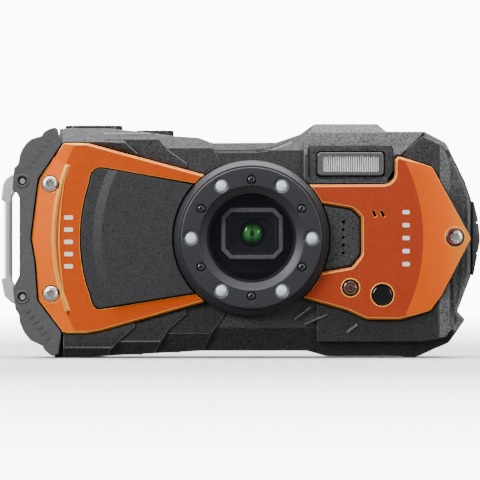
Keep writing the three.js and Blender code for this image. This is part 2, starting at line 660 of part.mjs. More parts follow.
function addRightPlate() {
  const windows = [TIMER_LAMP, REMOTE_WINDOW].map(({ x, z, radius }) =>
    rod(x, z, radius + GAP, -14, 0, 20));
  const plate = plateSheet(RIGHT_PLATE_OUTLINE, PLATEAU_RADIUS);
  add('right_face_plate', cut(plate, ringRoom(), ...windows, ...micSlots(), ...plateScrewHoles()),
    FINISH.orange);
}

function addPlateScrews() {
  PLATE_SCREWS.forEach(({ x, z, head, y }, i) => {
    const profile = [
      [0, y], [head - 0.5, y], [head, y + 0.6], [head, y + 1.2], [1.0, y + 1.2], [1.0, y + 5.2],
      [0, y + 5.2],
    ];
    add(`plate_screw_${i + 1}`, turned(profile, x, z, 16), FINISH.steel);
  });
}

// The grip, the speaker panel and the two small windows stand on the front shell.
function addPlateInserts() {
  const seat = SHELL_FRONT - SEAM;
  const gripTop = turned([
    [0, -11.9], [39.2, -11.9], [41.6, -11.2], [60, -11.2], [60, seat], [0, seat],
  ], LENS.x, LENS.z, 96);
  const gripBlank = chamfered(inset(rounded(GRIP_OUTLINE), GAP), -12.2, seat, PLATE_BEVEL);
  add('grip_panel', cut(gripBlank.intersect(gripTop), ringRoom()), FINISH.grip);

  const holes = [-2, -1, 0, 1, 2].map((i) =>
    rod(SOUND_HOLES.x, SOUND_HOLES.z + i * SOUND_HOLES.pitch, SOUND_HOLES.radius, -14, 0, 8));
  const panel = chamfered(rounded(SPEAKER_OUTLINE), -10.7, seat, 0.4);
  add('speaker_panel', cut(panel, ringRoom(), ...holes), FINISH.shell);

  const lamp = TIMER_LAMP;
  const lampProfile = [
    [0, -11.1], [lamp.radius - 0.6, -11.05], [lamp.radius, -10.7], [lamp.radius, seat], [0, seat],
  ];
  add('timer_lamp', turned(lampProfile, lamp.x, lamp.z, 20), FINISH.lamp);
  const remote = REMOTE_WINDOW;
  const remoteProfile = [
    [0, -10.8], [remote.radius - 0.35, -10.8], [remote.radius, -10.6], [remote.radius, seat], [0, seat],
  ];
  add('remote_window', turned(remoteProfile, remote.x, remote.z, 20), FINISH.window);
}

// ---------------------------------------------------------------- lens ring and optics

function addLensRing() {
  const angles = [0, 1, 2, 3, 4, 5];
  const leds = angles.map((k) => around(LED_CIRCLE, 60 * k));
  const screws = angles.map((k) => around(SCREW_CIRCLE, 30 + 60 * k));
  const seatFront = -13.2;
  const ringRear = SHELL_FRONT - 0.2;
  const baseProfile = [
    [BORE_RADIUS, -10.7], [GLASS_RADIUS + GAP, -10.7], [GLASS_RADIUS + GAP, seatFront],
    [COVER_RADIUS - 0.1, seatFront], [COVER_RADIUS + 0.5, -12.6], [BASE_RING_RADIUS, -11.4],
    [BASE_RING_RADIUS, ringRear], [NECK_RADIUS, ringRear], [NECK_RADIUS, -5.4], [BORE_RADIUS, -5.4],
  ];
  const ledPockets = leds.map(([x, z]) => rod(x, z, 2.3, -14, -11.4, 12));
  const threads = screws.map(([x, z]) => rod(x, z, 0.8, -14, -11.0, 8));
  const base = collar(baseProfile, LENS.x, LENS.z, 60);
  add('lens_base_ring', cut(base, ...ledPockets, ...threads), FINISH.ring);

  const coverRear = seatFront - SEAM;
  const coverProfile = [
    [CONE_RADIUS, RING_FRONT + 0.15], [CONE_RADIUS + 0.25, RING_FRONT],
    [COVER_RADIUS - 0.5, RING_FRONT], [COVER_RADIUS, RING_FRONT + 0.5],
    [COVER_RADIUS, coverRear], [GLASS_RADIUS + GAP, coverRear],
  ];
  const ledHole = [[0, -15], [2.6, -15], [2.05, RING_FRONT + 0.5], [2.05, -12], [0, -12]];
  const counterbore = [[0, -15], [1.3, -15], [1.3, -14.1], [0.8, -14.1], [0.8, -12], [0, -12]];
  const ledHoles = leds.map(([x, z]) => turned(ledHole, x, z, 12));
  const counterbores = screws.map(([x, z]) => turned(counterbore, x, z, 8));
  const cover = collar(coverProfile, LENS.x, LENS.z, 60);
  add('lens_ring_cover', cut(cover, ...ledHoles, ...counterbores), FINISH.ring);

  const dome = [
    [0, -14.55], [0.9, -14.4], [1.5, -14.0], [1.7, -13.6], [1.7, -13.2], [2.0, -13.1],
    [2.0, -11.6], [0, -11.6],
  ];
  const screw = [
    [0, -14.7], [0.7, -14.7], [0.95, -14.5], [0.95, -14.2], [0.5, -14.2], [0.5, -11.4], [0, -11.4],
  ];
  leds.forEach(([x, z], k) => add(`macro_led_${k + 1}`, turned(dome, x, z, 12), FINISH.led));
  screws.forEach(([x, z], k) => add(`ring_screw_${k + 1}`, turned(screw, x, z, 8), FINISH.steel));

  add('lens_glass', rod(LENS.x, LENS.z, GLASS_RADIUS, GLASS_FRONT, -11.0, 48), FINISH.glass);
}

function addOptics() {
  const [mx, mz] = [LENS.x + 0.2, LENS.z + 1.2];
  const frame = (halfX, halfZ, corner) => {
    const [x0, x1, z0, z1] = [mx - halfX, mx + halfX, mz - halfZ, mz + halfZ];
    return [[x0 + corner, z0], [x1 - corner, z0], [x1, z0 + corner], [x1, z1 - corner],
      [x1 - corner, z1], [x0 + corner, z1], [x0, z1 - corner], [x0, z0 + corner]];
  };
  const steps = [[6.6, 5.35, 0.9, -12, -9.3], [5.6, 4.5, 0.8, -10, -8.4], [4.7, 3.8, 0.8, -9, -7.5]];
  const windows = steps.map(([halfX, halfZ, corner, y0, y1]) =>
    slab(frame(halfX, halfZ, corner), y0, y1));
  const plate = slab(frame(8.2, 6.8, 2.6), -10.5, -5.6);
  add('lens_mask', cut(plate, ...windows, rod(mx, mz, 3.5, -9, -4, 20)), FINISH.innerPlastic);
  const lens = [[0, -7.3], [1.6, -7.1], [2.7, -6.5], [3.2, -5.9], [3.2, -4.9], [0, -4.7]];
  add('front_lens_element', turned(lens, mx, mz, 20), FINISH.coated);

  const shell = block(-6, 47, -3.9, 6.4, 22.4, 42.2);
  const room = block(-4.8, 45.8, -2.7, 8, 23.6, 41.0);
  add('lens_housing', cut(shell, room, rod(mx, mz, 4.6, -6, 0, 20)), FINISH.innerPlastic);
  const prism = column([[-1.0, -2.2], [7.2, -2.2], [7.2, 6.0]], mz - 4.1, mz + 4.1);
  add('prism', prism, FINISH.glass);
  const alongX = (x0, x1, radius) => {
    const geometry = new THREE.CylinderGeometry(radius, radius, x1 - x0, 20);
    geometry.rotateZ(Math.PI / 2);
    geometry.translate((x0 + x1) / 2, 1.8, mz);
    return solidOf(geometry);
  };
  const cell = (x0, x1) => {
    const carriage = block(x0, x1, -2.1, 5.9, mz - 6.5, mz + 6.5);
    return cut(carriage, alongX(x0 - 1, x0 + 1, 3.2));
  };
  add('zoom_group', cell(12, 18), FINISH.innerPlastic);
  add('focus_group', cell(34, 37.5), FINISH.innerPlastic);
  add('image_sensor', block(43.2, 44.8, -2.2, 5.8, mz - 5, mz + 5), FINISH.board);
}

// ---------------------------------------------------------------- flash, inside and base

function addFlash() {
  const { x0, x1, z0, z1, front, rear } = FLASH_WINDOW;
  add('flash_window', slab(rectangle(x0, x1, z0, z1, 0.7), front, rear), FINISH.glass);
  const trough = block(21.2, 36.4, -8.0, -3.4, 48.6, 53.1);
  const inside = beam([[-9, 49.0], [-9, 52.7], [-4.6, 51.6], [-4.0, 50.85], [-4.6, 50.1]], 21.8, 35.8);
  add('flash_reflector', cut(trough, inside), FINISH.reflector);
}

function tripodHole() {
  return columnRing(TRIPOD.radius + GAP, 0, -1, 9);
}

function columnRing(radius, bore, z0, z1) {
  const centre = { x: TRIPOD.x, z: TRIPOD.y };
  const disc = column(arc(centre, radius, 0, 350, 35), z0, z1);
  return bore ? cut(disc, column(arc(centre, bore, 0, 345, 23), z0 - 1, z1 + 1)) : disc;
}

function addInside() {
  const { radius, bore, face, length } = TRIPOD;
  add('tripod_socket', columnRing(radius, bore, face, face + length), FINISH.brass);
  const { x0, x1, y0, y1, z0, z1 } = BATTERY;
  add('battery', column(rectangle(x0, x1, y0, y1, 1.2, 2), z0, z1), FINISH.battery);
  const card = [[-45, 4.6], [-21, 4.6], [-21, 33.5], [-24, 36.6], [-45, 36.6]];
  add('memory_card', slab(card, 5.4, 7.5), FINISH.card);
  add('main_board', slab(rectangle(-9, 52, 8, 53, 1.5, 2), 7.4, 8.6), FINISH.board);
  add('monitor_panel', slab(rectangle(-5.6, 48.6, 11.4, 50.6, 0.6, 2), 9.2, 11.4), FINISH.screen);
  const glass = rectangle(MONITOR.x0, MONITOR.x1, MONITOR.z0, MONITOR.z1, 2.2);
  add('monitor_window', slab(glass, MONITOR.front, MONITOR.rear), FINISH.window);
}

// ---------------------------------------------------------------- doors

function addBatteryDoor() {
  const { x0, x1, y0, y1, top } = DOOR;
  const { y, z, radius, pin } = DOOR_HINGE;
  const underside = SHELL_OUTLINE.slice(1, 4).filter(([x]) => x > x0);
  const outline = [[x0, 0.2], [-40.2, 0.2], ...underside.slice(1), [x1, 1.6], [x1, top], [x0, top]];
  const plate = slab(outline, y0, y1 - 0.6);
  const barrelProfile = arc({ x: y, z }, radius, 0, 337.5, 15);
  const knuckle = beam(barrelProfile, x0 + 3, x1 - 3);
  const web = block(x0 + 3, x1 - 3, y1 - 1.2, y, z - 0.7, z + 0.7);
  const bore = beam(arc({ x: y, z }, pin + 0.1, 0, 330, 11), x0 - 1, x1 + 1);
  const lockPocket = block(-33.5, -25.5, y0 + 1.7, y0 + 7.3, -1, 1.9);
  add('battery_door', cut(join(plate, knuckle, web), bore, lockPocket), FINISH.shell);
  add('door_lock', block(-33.2, -25.8, y0 + 2.0, y0 + 5.0, 0.7, 1.6), FINISH.button);
  add('door_hinge_pin', beam(arc({ x: y, z }, pin, 0, 330, 11), x0 - 0.1, x1 + 0.1), FINISH.steel);
}

function addTerminalCover() {
  const outline = [[61.0, 21.6], [61.3, 21.6], [62.4, 27.2], [63.05, 30.9], [62.9, 33.0], [62.5, 36.3],
    [61.4, 41.05], [61.0, 41.05]];
  const seams = [27.4, 35.5].map((z) => block(62.1, 64, -8, 10, z - 0.2, z + 0.2));
  const shape = slab(outline, -5.4, 8.0);
  add('terminal_cover', cut(shape, ...seams), FINISH.rubber);
}

addFrontShell();
addRearShell();
addGasket();
addSideGuard();
addStrapBar();
addLeftPlate();
addRightPlate();
addPlateScrews();
addPlateInserts();
addLensRing();
addOptics();
addFlash();
addInside();
addTopButtons();
addRearButtons();
addFourWayPad();
addBatteryDoor();
addTerminalCover();

export default camera;
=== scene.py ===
import json
import math

import bmesh
import bpy
from mathutils import Matrix, Vector


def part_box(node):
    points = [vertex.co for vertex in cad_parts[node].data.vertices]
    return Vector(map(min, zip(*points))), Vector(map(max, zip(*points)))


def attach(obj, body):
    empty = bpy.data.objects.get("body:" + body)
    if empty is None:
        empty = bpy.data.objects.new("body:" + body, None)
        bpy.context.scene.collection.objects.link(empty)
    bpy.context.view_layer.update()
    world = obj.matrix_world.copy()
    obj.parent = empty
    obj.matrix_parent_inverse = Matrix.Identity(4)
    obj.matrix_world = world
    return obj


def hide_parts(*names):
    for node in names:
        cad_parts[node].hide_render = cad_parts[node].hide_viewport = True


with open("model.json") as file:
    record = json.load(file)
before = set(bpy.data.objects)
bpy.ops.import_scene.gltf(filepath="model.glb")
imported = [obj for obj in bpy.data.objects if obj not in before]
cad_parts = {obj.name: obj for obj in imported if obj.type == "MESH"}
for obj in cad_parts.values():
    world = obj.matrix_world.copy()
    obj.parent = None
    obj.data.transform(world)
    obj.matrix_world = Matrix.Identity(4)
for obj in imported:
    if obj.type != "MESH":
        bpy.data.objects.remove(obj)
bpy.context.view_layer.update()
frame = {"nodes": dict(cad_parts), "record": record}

MM = 0.001
NODES = frame["nodes"]
BODY_OF = {node: body for body, nodes in frame["record"]["behaviour"]["bodies"].items() for node in nodes}
SLOT_OF = {row["node"]: row["material_slot"] for row in frame["record"]["subparts"]}


# ---- places taken from the frame

def middle(node):
    low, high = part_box(node)
    return (low + high) / 2


def extent_mm(node):
    """The sides of a piece's box in millimetres: x0, x1, y0, y1, z0, z1."""
    low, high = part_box(node)
    return [round(corner[axis] / MM, 3) for axis in range(3) for corner in (low, high)]


def spot(node):
    """The centre of a piece seen from the front, as (x, z) in millimetres."""
    x0, x1, _, _, z0, z1 = extent_mm(node)
    return round((x0 + x1) / 2, 3), round((z0 + z1) / 2, 3)


LENS = middle("lens_glass")
LEDS = [middle(f"macro_led_{k}") for k in range(1, 7)]
RING_SCREWS = [middle(f"ring_screw_{k}") for k in range(1, 7)]
STRAP_PINS = [spot(f"strap_pin_{k}") for k in (1, 2)]
ROUND_REAR_BUTTONS = ("playback_button", "movie_button", "menu_button", "function_button")


# ---- camera, lights and floor

VIEW_WIDTH = 126.7 * MM
LENS_MM = 400.0
SENSOR_MM = 36.0
VIEW_X, VIEW_Z = -0.1 * MM, 30.9 * MM
AIM = (0, 0, 0.03)


def make_camera():
    data = bpy.data.cameras.new("view_camera")
    data.lens = LENS_MM
    data.sensor_width = SENSOR_MM
    data.clip_end = 20
    camera = bpy.data.objects.new("view_camera", data)
    distance = VIEW_WIDTH * LENS_MM / SENSOR_MM
    camera.location = (VIEW_X, -distance, VIEW_Z)
    camera.rotation_euler = (math.radians(90), 0, 0)
    bpy.context.scene.collection.objects.link(camera)
    bpy.context.scene.camera = camera


def area_light(name, place, width, height, power):
    data = bpy.data.lights.new(name, "AREA")
    data.shape = "RECTANGLE"
    data.size = width
    data.size_y = height
    data.energy = power
    light = bpy.data.objects.new(name, data)
    light.location = place
    light.rotation_euler = (Vector(AIM) - Vector(place)).to_track_quat("-Z", "Y").to_euler()
    bpy.context.scene.collection.objects.link(light)


def make_studio():
    area_light("top_softbox", (0, 0.0, 0.6), 1.0, 0.6, 14)
    area_light("left_softbox", (-0.62, -0.62, 0.42), 0.35, 0.45, 10)
    area_light("right_softbox", (0.6, -0.75, 0.22), 0.3, 0.4, 2.6)
    area_light("rear_fill", (0.1, 0.9, 0.5), 0.8, 0.5, 4)
    world = bpy.data.worlds.new("studio")
    world.use_nodes = True
    background = world.node_tree.nodes["Background"].inputs
    background["Color"].default_value = (1, 1, 1, 1)
    background["Strength"].default_value = 0.2
    bpy.context.scene.world = world

    bm = bmesh.new()
    bmesh.ops.create_circle(bm, cap_ends=True, segments=96, radius=1.3)
    floor = finish_mesh("studio_floor", bm, smooth=False)
    floor.location.z = -0.00005
    floor.data.materials.append(floor_material())

    bm = bmesh.new()
    bmesh.ops.create_icosphere(bm, subdivisions=4, radius=8.0)
    backdrop = finish_mesh("studio_backdrop", bm)
    backdrop.visible_transmission = False
    backdrop.visible_shadow = False
    backdrop.data.materials.append(backdrop_material())
    for piece in (floor, backdrop):
        piece.visible_diffuse = False
        piece.visible_glossy = False


# ---- materials

class Paint:
    """A Principled material, with short names for the nodes that its look is built from."""

    def __init__(self, name, color, roughness, metallic=0.0, **sockets):
        self.name = name
        self.color = color
        self.material = bpy.data.materials.new(name)
        self.material.use_nodes = True
        self.nodes = self.material.node_tree.nodes
        self.shader = self.nodes["Principled BSDF"]
        self.feed("Base Color", (*color, 1))
        self.feed("Roughness", roughness)
        self.feed("Metallic", metallic)
        for key, value in sockets.items():
            self.feed(key.replace("_", " "), value)

    def put(self, socket, value):
        """Feeds a socket from another node's output, or with a plain value."""
        if isinstance(value, bpy.types.NodeSocket):
            self.material.node_tree.links.new(value, socket)
        else:
            socket.default_value = value

    def feed(self, key, value):
        self.put(self.shader.inputs[key], value)

    def tint(self, value, *shades):
        """Base colour along `value`: at each position the paint's own colour times a factor."""
        stops = [(position, scaled(self.color, factor)) for position, factor in shades]
        self.feed("Base Color", self.ramp(value, *stops))

    def roughen(self, value, low, high, smooth, rough):
        self.feed("Roughness", self.remap(value, low, high, smooth, rough))

    def node(self, kind, **inputs):
        made = self.nodes.new("ShaderNode" + kind)
        for key, value in inputs.items():
            self.put(made.inputs[key], value)
        return made

    def coords(self, stretch=(1, 1, 1)):
        place = self.node("TexCoord").outputs["Object"]
        return self.node("Mapping", Vector=place, Scale=stretch).outputs["Vector"]

    def noise(self, scale, detail, roughness=0.5, stretch=(1, 1, 1)):
        return self.node("TexNoise", Vector=self.coords(stretch), Scale=scale, Detail=detail,
                         Roughness=roughness).outputs["Fac"]

    def cells(self, scale, feature="F1"):
        made = self.node("TexVoronoi", Vector=self.coords(), Scale=scale)
        made.feature = feature
        return made.outputs["Distance"]

    def remap(self, value, low, high, to_low, to_high):
        ends = {"From Min": low, "From Max": high, "To Min": to_low, "To Max": to_high}
        return self.node("MapRange", Value=value, **ends).outputs["Result"]

    def worked(self, kind, operation, *values):
        """Outputs of a Math or VectorMath node fed with `values` in order."""
        made = self.node(kind)
        made.operation = operation
        for socket, value in zip(made.inputs, values):
            self.put(socket, value)
        return made.outputs

    def ramp(self, value, *stops):
        made = self.node("ValToRGB", Fac=value)
        elements = made.color_ramp.elements
        while len(elements) < len(stops):
            elements.new(0.5)
        for element, (position, color) in zip(elements, stops):
            element.position = position
            element.color = (*color, 1)
        return made.outputs["Color"]

    def bump(self, height, strength, distance):
        made = self.node("Bump", Strength=strength, Distance=distance, Height=height)
        earlier = self.shader.inputs["Normal"].links
        if earlier:
            self.put(made.inputs["Normal"], earlier[0].from_socket)
        self.feed("Normal", made.outputs["Normal"])


def backdrop_material():
    paint = Paint("studio_backdrop", (1, 1, 1), 1.0)
    paint.nodes.clear()
    emission = paint.node("Emission", Color=(1, 1, 1, 1), Strength=11.0).outputs["Emission"]
    paint.node("OutputMaterial", Surface=emission)
    return paint.material


def floor_material():
    """Pale and matt under the object, clearing towards the rim so that it meets the backdrop softly."""
    paint = Paint("studio_floor", (0.86, 0.86, 0.86), 0.55)
    place = paint.node("TexCoord").outputs["Object"]
    reach = paint.worked("VectorMath", "LENGTH", place)["Value"]
    paint.feed("Alpha", paint.remap(reach, 0.16, 0.8, 1.0, 0.0))
    return paint.material


def scaled(color, factor):
    return tuple(min(1.0, channel * factor) for channel in color)


def textured_plastic(name, color, grain, depth, rough=(0.42, 0.6), specks=0.25):
    """Moulded plastic: fine spark-eroded grain with scattered darker pits."""
    paint = Paint(name, color, 0.5, Specular_IOR_Level=0.4)
    speckle = paint.noise(grain, 2, 0.65)
    paint.tint(speckle, (0.38, specks), (0.47, 1), (0.6, 1.2), (0.78, 2.2))
    paint.roughen(paint.noise(700, 3), 0.3, 0.7, *rough)
    paint.bump(paint.cells(grain * 0.8), 0.5, depth)
    paint.bump(speckle, 0.6, depth)
    return paint


def orange_paint(name, color, roughness, metallic):
    """Metallic lacquer with tiny lighter and darker flakes."""
    paint = Paint(name, color, roughness, metallic, Specular_IOR_Level=0.2)
    flakes = paint.noise(6500, 2, 0.6)
    paint.tint(flakes, (0.3, 0.78), (0.52, 1), (0.75, 1.22))
    paint.roughen(paint.noise(350, 3), 0.3, 0.7, roughness - 0.04, roughness + 0.05)
    paint.bump(flakes, 0.15, 0.00002)
    return paint


def orange_sweep(name, start_mm, end_mm, start, end):
    """The same lacquer brightening along X, as a curved skirt does under a soft light."""
    paint = orange_paint(name, start, 0.36, 0.3)
    x = paint.node("SeparateXYZ", Vector=paint.coords()).outputs["X"]
    along = paint.remap(x, start_mm * MM, end_mm * MM, 0, 1)
    flakes = paint.remap(paint.noise(6500, 2, 0.6), 0.3, 0.75, -0.12, 0.12)
    total = paint.worked("Math", "ADD", along, flakes)["Value"]
    paint.feed("Base Color", paint.ramp(total, (0.0, start), (0.55, scaled(start, 1.15)), (1.0, end)))
    return paint


def leather_grip():
    paint = Paint("grip_leather", (0.027, 0.028, 0.031), 0.55, Specular_IOR_Level=0.35)
    pebbles = paint.cells(2600, "SMOOTH_F1")
    fine = paint.noise(5200, 3)
    paint.tint(pebbles, (0.05, 1.5), (0.4, 1), (0.8, 0.5))
    paint.roughen(fine, 0.3, 0.7, 0.45, 0.65)
    paint.bump(paint.remap(pebbles, 0.0, 0.9, 1.0, 0.0), 0.6, 0.00007)
    paint.bump(fine, 0.35, 0.00002)
    return paint


def guard_rubber():
    paint = Paint("guard_rubber", (0.075, 0.077, 0.08), 0.75, Specular_IOR_Level=0.3)
    mottled = paint.noise(1200, 4)
    paint.tint(mottled, (0.3, 0.85), (0.7, 1.15))
    paint.roughen(mottled, 0.3, 0.7, 0.65, 0.85)
    paint.bump(paint.noise(7000, 2), 0.4, 0.00002)
    return paint


def satin_metal(name, color, roughness, metallic, brushed=(1, 1, 1)):
    paint = Paint(name, color, roughness, metallic)
    grain = paint.noise(4000, 3, 0.6, brushed)
    paint.tint(grain, (0.3, 0.86), (0.7, 1.1))
    paint.roughen(grain, 0.3, 0.7, max(0.04, roughness - 0.06), roughness + 0.07)
    paint.bump(grain, 0.3, 0.000006)
    return paint


def gloss(name, color, roughness, coat=0.0):
    """Smooth plastic, glass or print with faint smudges."""
    paint = Paint(name, color, roughness, Coat_Weight=coat)
    smudges = paint.noise(260, 4)
    paint.roughen(smudges, 0.4, 0.75, roughness, roughness + 0.07)
    paint.tint(smudges, (0.3, 0.9), (0.7, 1))
    return paint


def front_pane():
    """Front glass seen from outside: a faint reflecting film that lets the pieces behind show."""
    paint = Paint("clear_glass", (0.012, 0.013, 0.02), 0.12, Alpha=0.25)
    paint.roughen(paint.noise(300, 3), 0.4, 0.8, 0.12, 0.17)
    return paint


def iris_glass():
    """Coated element with its reflection painted in: a painted green glow, strongest to the left and right of
    a dark centre, fading at the rim.
    """
    paint = Paint("coated_glass", (0.02, 0.3, 0.04), 0.08, Coat_Weight=0.6)
    centre = middle("front_lens_element")
    offset = paint.worked("VectorMath", "SUBTRACT", paint.coords(), (centre.x, 0, centre.z))["Vector"]
    flat = paint.worked("VectorMath", "MULTIPLY", offset, (1000, 0, 1000))["Vector"]
    radius = paint.worked("VectorMath", "LENGTH", flat)["Value"]
    x = paint.node("SeparateXYZ", Vector=flat).outputs["X"]
    across = paint.worked("Math", "ABSOLUTE", x)["Value"]
    sideways = paint.worked("Math", "DIVIDE", across, radius)["Value"]
    rings = paint.ramp(paint.remap(radius, 0, 3.2, 0, 1), (0.0, (0.001, 0.004, 0.001)),
                       (0.16, (0.02, 0.12, 0.02)), (0.3, (0.12, 0.6, 0.12)), (0.5, (0.05, 0.42, 0.05)),
                       (0.72, (0.015, 0.2, 0.02)), (0.9, (0.006, 0.06, 0.008)), (1.0, (0.002, 0.01, 0.003)))
    painted_glow = paint.node("VectorMath")
    painted_glow.operation = "SCALE"
    paint.put(painted_glow.inputs[0], rings)
    paint.put(painted_glow.inputs["Scale"], paint.remap(sideways, 0, 1, 0.25, 1.3))
    paint.feed("Base Color", painted_glow.outputs["Vector"])
    return paint


# Colour, grain per metre, depth of the grain in metres, then range of roughness and shade of the pits.
PLASTICS = dict(
    shell_plastic=((0.033, 0.034, 0.037), 1900, 0.000028),
    # The next three are painted light: a lit copy, a shaded copy and a highlight colour of the shell plastic.
    shell_light=((0.1, 0.102, 0.108), 1900, 0.00003, (0.4, 0.55), 0.4),
    shell_dark=((0.016, 0.0165, 0.018), 1900, 0.000028),
    shell_edge=((0.11, 0.113, 0.118), 2600, 0.00002, (0.35, 0.5), 0.6),
    inner_plastic=((0.012, 0.012, 0.013), 5200, 0.00001),
    # A paler copy of the mask's plastic for its front faces: painted light.
    mask_plastic=((0.2, 0.2, 0.21), 5200, 0.00001, (0.4, 0.5), 0.8),
    button_plastic=((0.032, 0.033, 0.037), 6000, 0.00001, (0.3, 0.42), 0.7),
    cell_wrap=((0.028, 0.03, 0.036), 4000, 0.00001),
    card_blue=((0.012, 0.035, 0.16), 4000, 0.00001),
    board_green=((0.02, 0.12, 0.05), 2000, 0.00001),
    seal_rubber=((0.009, 0.009, 0.01), 5000, 0.00001, (0.6, 0.8)),
)
# Colour, roughness and metallic share.
LACQUERS = dict(
    orange_metal=((0.66, 0.086, 0.005), 0.42, 0.35),
    # The next three are painted light: a shaded copy of the lacquer, a lit copy, and a highlight colour for
    # bevels, ridges and rims.
    orange_deep=((0.47, 0.057, 0.018), 0.42, 0.35),
    orange_light=((1.0, 0.155, 0.002), 0.42, 0.3),
    orange_edge=((1.0, 0.44, 0.08), 0.3, 0.2),
)
METALS = dict(
    ring_metal=((0.036, 0.037, 0.042), 0.42, 0.3),
    polished_steel=((0.88, 0.88, 0.88), 0.3, 0.85, (1, 1, 0.08)),
    strap_steel=((0.93, 0.93, 0.93), 0.2, 0.45),
    # Darker steel for the floor of screw drives: painted shade.
    socket_steel=((0.42, 0.4, 0.38), 0.35, 0.7),
    dark_steel=((0.1, 0.1, 0.105), 0.3, 0.8),
    reflector=((0.86, 0.87, 0.89), 0.12, 1.0),
    socket_brass=((0.55, 0.36, 0.12), 0.3, 1.0),
    flash_lens=((0.82, 0.83, 0.82), 0.2, 0.55),
)
# Colour, roughness and weight of the clear coat.
GLOSSES = dict(
    flash_frame=((0.1, 0.1, 0.1), 0.15, 0.4),
    # Painted shade for the counterbore round the right plate's screw.
    orange_shade=((0.1, 0.014, 0.008), 0.3),
    lamp_ring=((0.2, 0.09, 0.07), 0.2),
    led_lens=((0.8, 0.86, 0.93), 0.22, 0.4),
    led_seat=((0.13, 0.135, 0.15), 0.12, 0.5),
    amber_lamp=((0.05, 0.018, 0.012), 0.08, 0.8),
    dark_window=((0.004, 0.004, 0.005), 0.05, 0.6),
    screen_glass=((0.006, 0.007, 0.009), 0.07, 0.6),
    display=((0.014, 0.016, 0.02), 0.12),
    white_print=((0.85, 0.85, 0.85), 0.4),
    red_print=((0.55, 0.02, 0.015), 0.35),
    # Black for holes and the dip's parting groove; also painted shadow in ring screw drives and beside the
    # left plate screws, and painted dark reflections on the strap bar.
    hole_black=((0.002, 0.002, 0.002), 0.7),
)
MATERIALS = {}


def make_materials():
    makers = ((textured_plastic, PLASTICS), (orange_paint, LACQUERS), (satin_metal, METALS), (gloss, GLOSSES))
    paints = [maker(name, *values) for maker, table in makers for name, values in table.items()]
    paints += [orange_sweep("orange_sweep", 46, 60, (0.86, 0.12, 0.003), (1.0, 0.3, 0.02)),
               leather_grip(), guard_rubber(), front_pane(), iris_glass()]
    MATERIALS.update((paint.name, paint.material) for paint in paints)


# ---- mesh helpers

def shade(mesh, smooth):
    for polygon in mesh.polygons:
        polygon.use_smooth = smooth


def finish_mesh(name, bm, smooth=True):
    mesh = bpy.data.meshes.new(name)
    bm.to_mesh(mesh)
    bm.free()
    shade(mesh, smooth)
    piece = bpy.data.objects.new(name, mesh)
    bpy.context.scene.collection.objects.link(piece)
    return piece


def crossing_length(edge, vert):
    """Length of the shortest edge that leaves `vert` sideways from `edge`."""
    along = (edge.other_vert(vert).co - vert.co).normalized()
    shortest = 1.0
    for other in vert.link_edges:
        if other is edge:
            continue
        heading = other.other_vert(vert).co - vert.co
        length = heading.length
        side = heading.cross(along).length / max(length, 1e-9)
        if side > 0.35:
            shortest = min(shortest, length * side)
    return shortest


def weigh_edges(bm, width, angle):
    """Bevel weights: full on clear sharp edges, less where short neighbours leave little room."""
    layer = bm.edges.layers.float.new("bevel_weight_edge")
    for edge in bm.edges:
        if len(edge.link_faces) != 2 or not angle < edge.calc_face_angle(0.0) < 2.2:
            continue
        room = 0.42 * min(crossing_length(edge, vert) for vert in edge.verts)
        weight = min(1.0, room / width)
        edge[layer] = weight if weight > 0.12 else 0.0


def weigh_normals(piece):
    flat = piece.modifiers.new("flat_faces", "WEIGHTED_NORMAL")
    flat.mode = "FACE_AREA"
    flat.weight = 90
    flat.keep_sharp = True


def add_bevel(piece, width_mm, angle, segments):
    bm = bmesh.new()
    bm.from_mesh(piece.data)
    weigh_edges(bm, width_mm * MM, math.radians(angle))
    bm.to_mesh(piece.data)
    bm.free()
    bevel = piece.modifiers.new("rounding", "BEVEL")
    bevel.width = width_mm * MM
    bevel.segments = segments
    bevel.limit_method = "WEIGHT"
    bevel.use_clamp_overlap = False
    weigh_normals(piece)


def dress(piece, material, body, replaced=(), extras=()):
    """Gives a piece its materials, the body it rides on and the CAD pieces it stands for."""
    tints = [polygon.material_index if extras else 0 for polygon in piece.data.polygons]
    piece.data.materials.clear()
    for name in (material, *extras):
        piece.data.materials.append(MATERIALS[name])
    piece.data.polygons.foreach_set("material_index", tints)
    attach(piece, body)
    if replaced:
        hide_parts(*replaced)
    return piece


def fixed(name, bm, material, replaced=(), smooth=False):
    """A finished piece of the fixed body, made from a bmesh."""
    return dress(finish_mesh(name, bm, smooth), material, "root", replaced)


def refined(node_name, bevel_mm, angle, segments, material=None, tints=(), tint_of=None):
    """A copy of a CAD piece with flat faces merged and every sharp edge rounded.
    `tint_of` names, per face, one of the further materials in `tints` (0 is the piece's own)."""
    bm = bmesh.new()
    bm.from_mesh(NODES[node_name].data)
    bmesh.ops.remove_doubles(bm, verts=bm.verts, dist=1e-5)
    bmesh.ops.dissolve_degenerate(bm, edges=bm.edges, dist=1e-5)
    bmesh.ops.dissolve_limit(bm, angle_limit=math.radians(0.4), verts=bm.verts, edges=bm.edges)
    for face in bm.faces:
        face.material_index = tint_of(face) if tint_of else 0
    piece = finish_mesh(node_name + "_form", bm)
    add_bevel(piece, bevel_mm, angle, segments)
    slot = SLOT_OF[node_name]
    dress(piece, material or slot, BODY_OF[node_name], (node_name,), tints)
    return piece


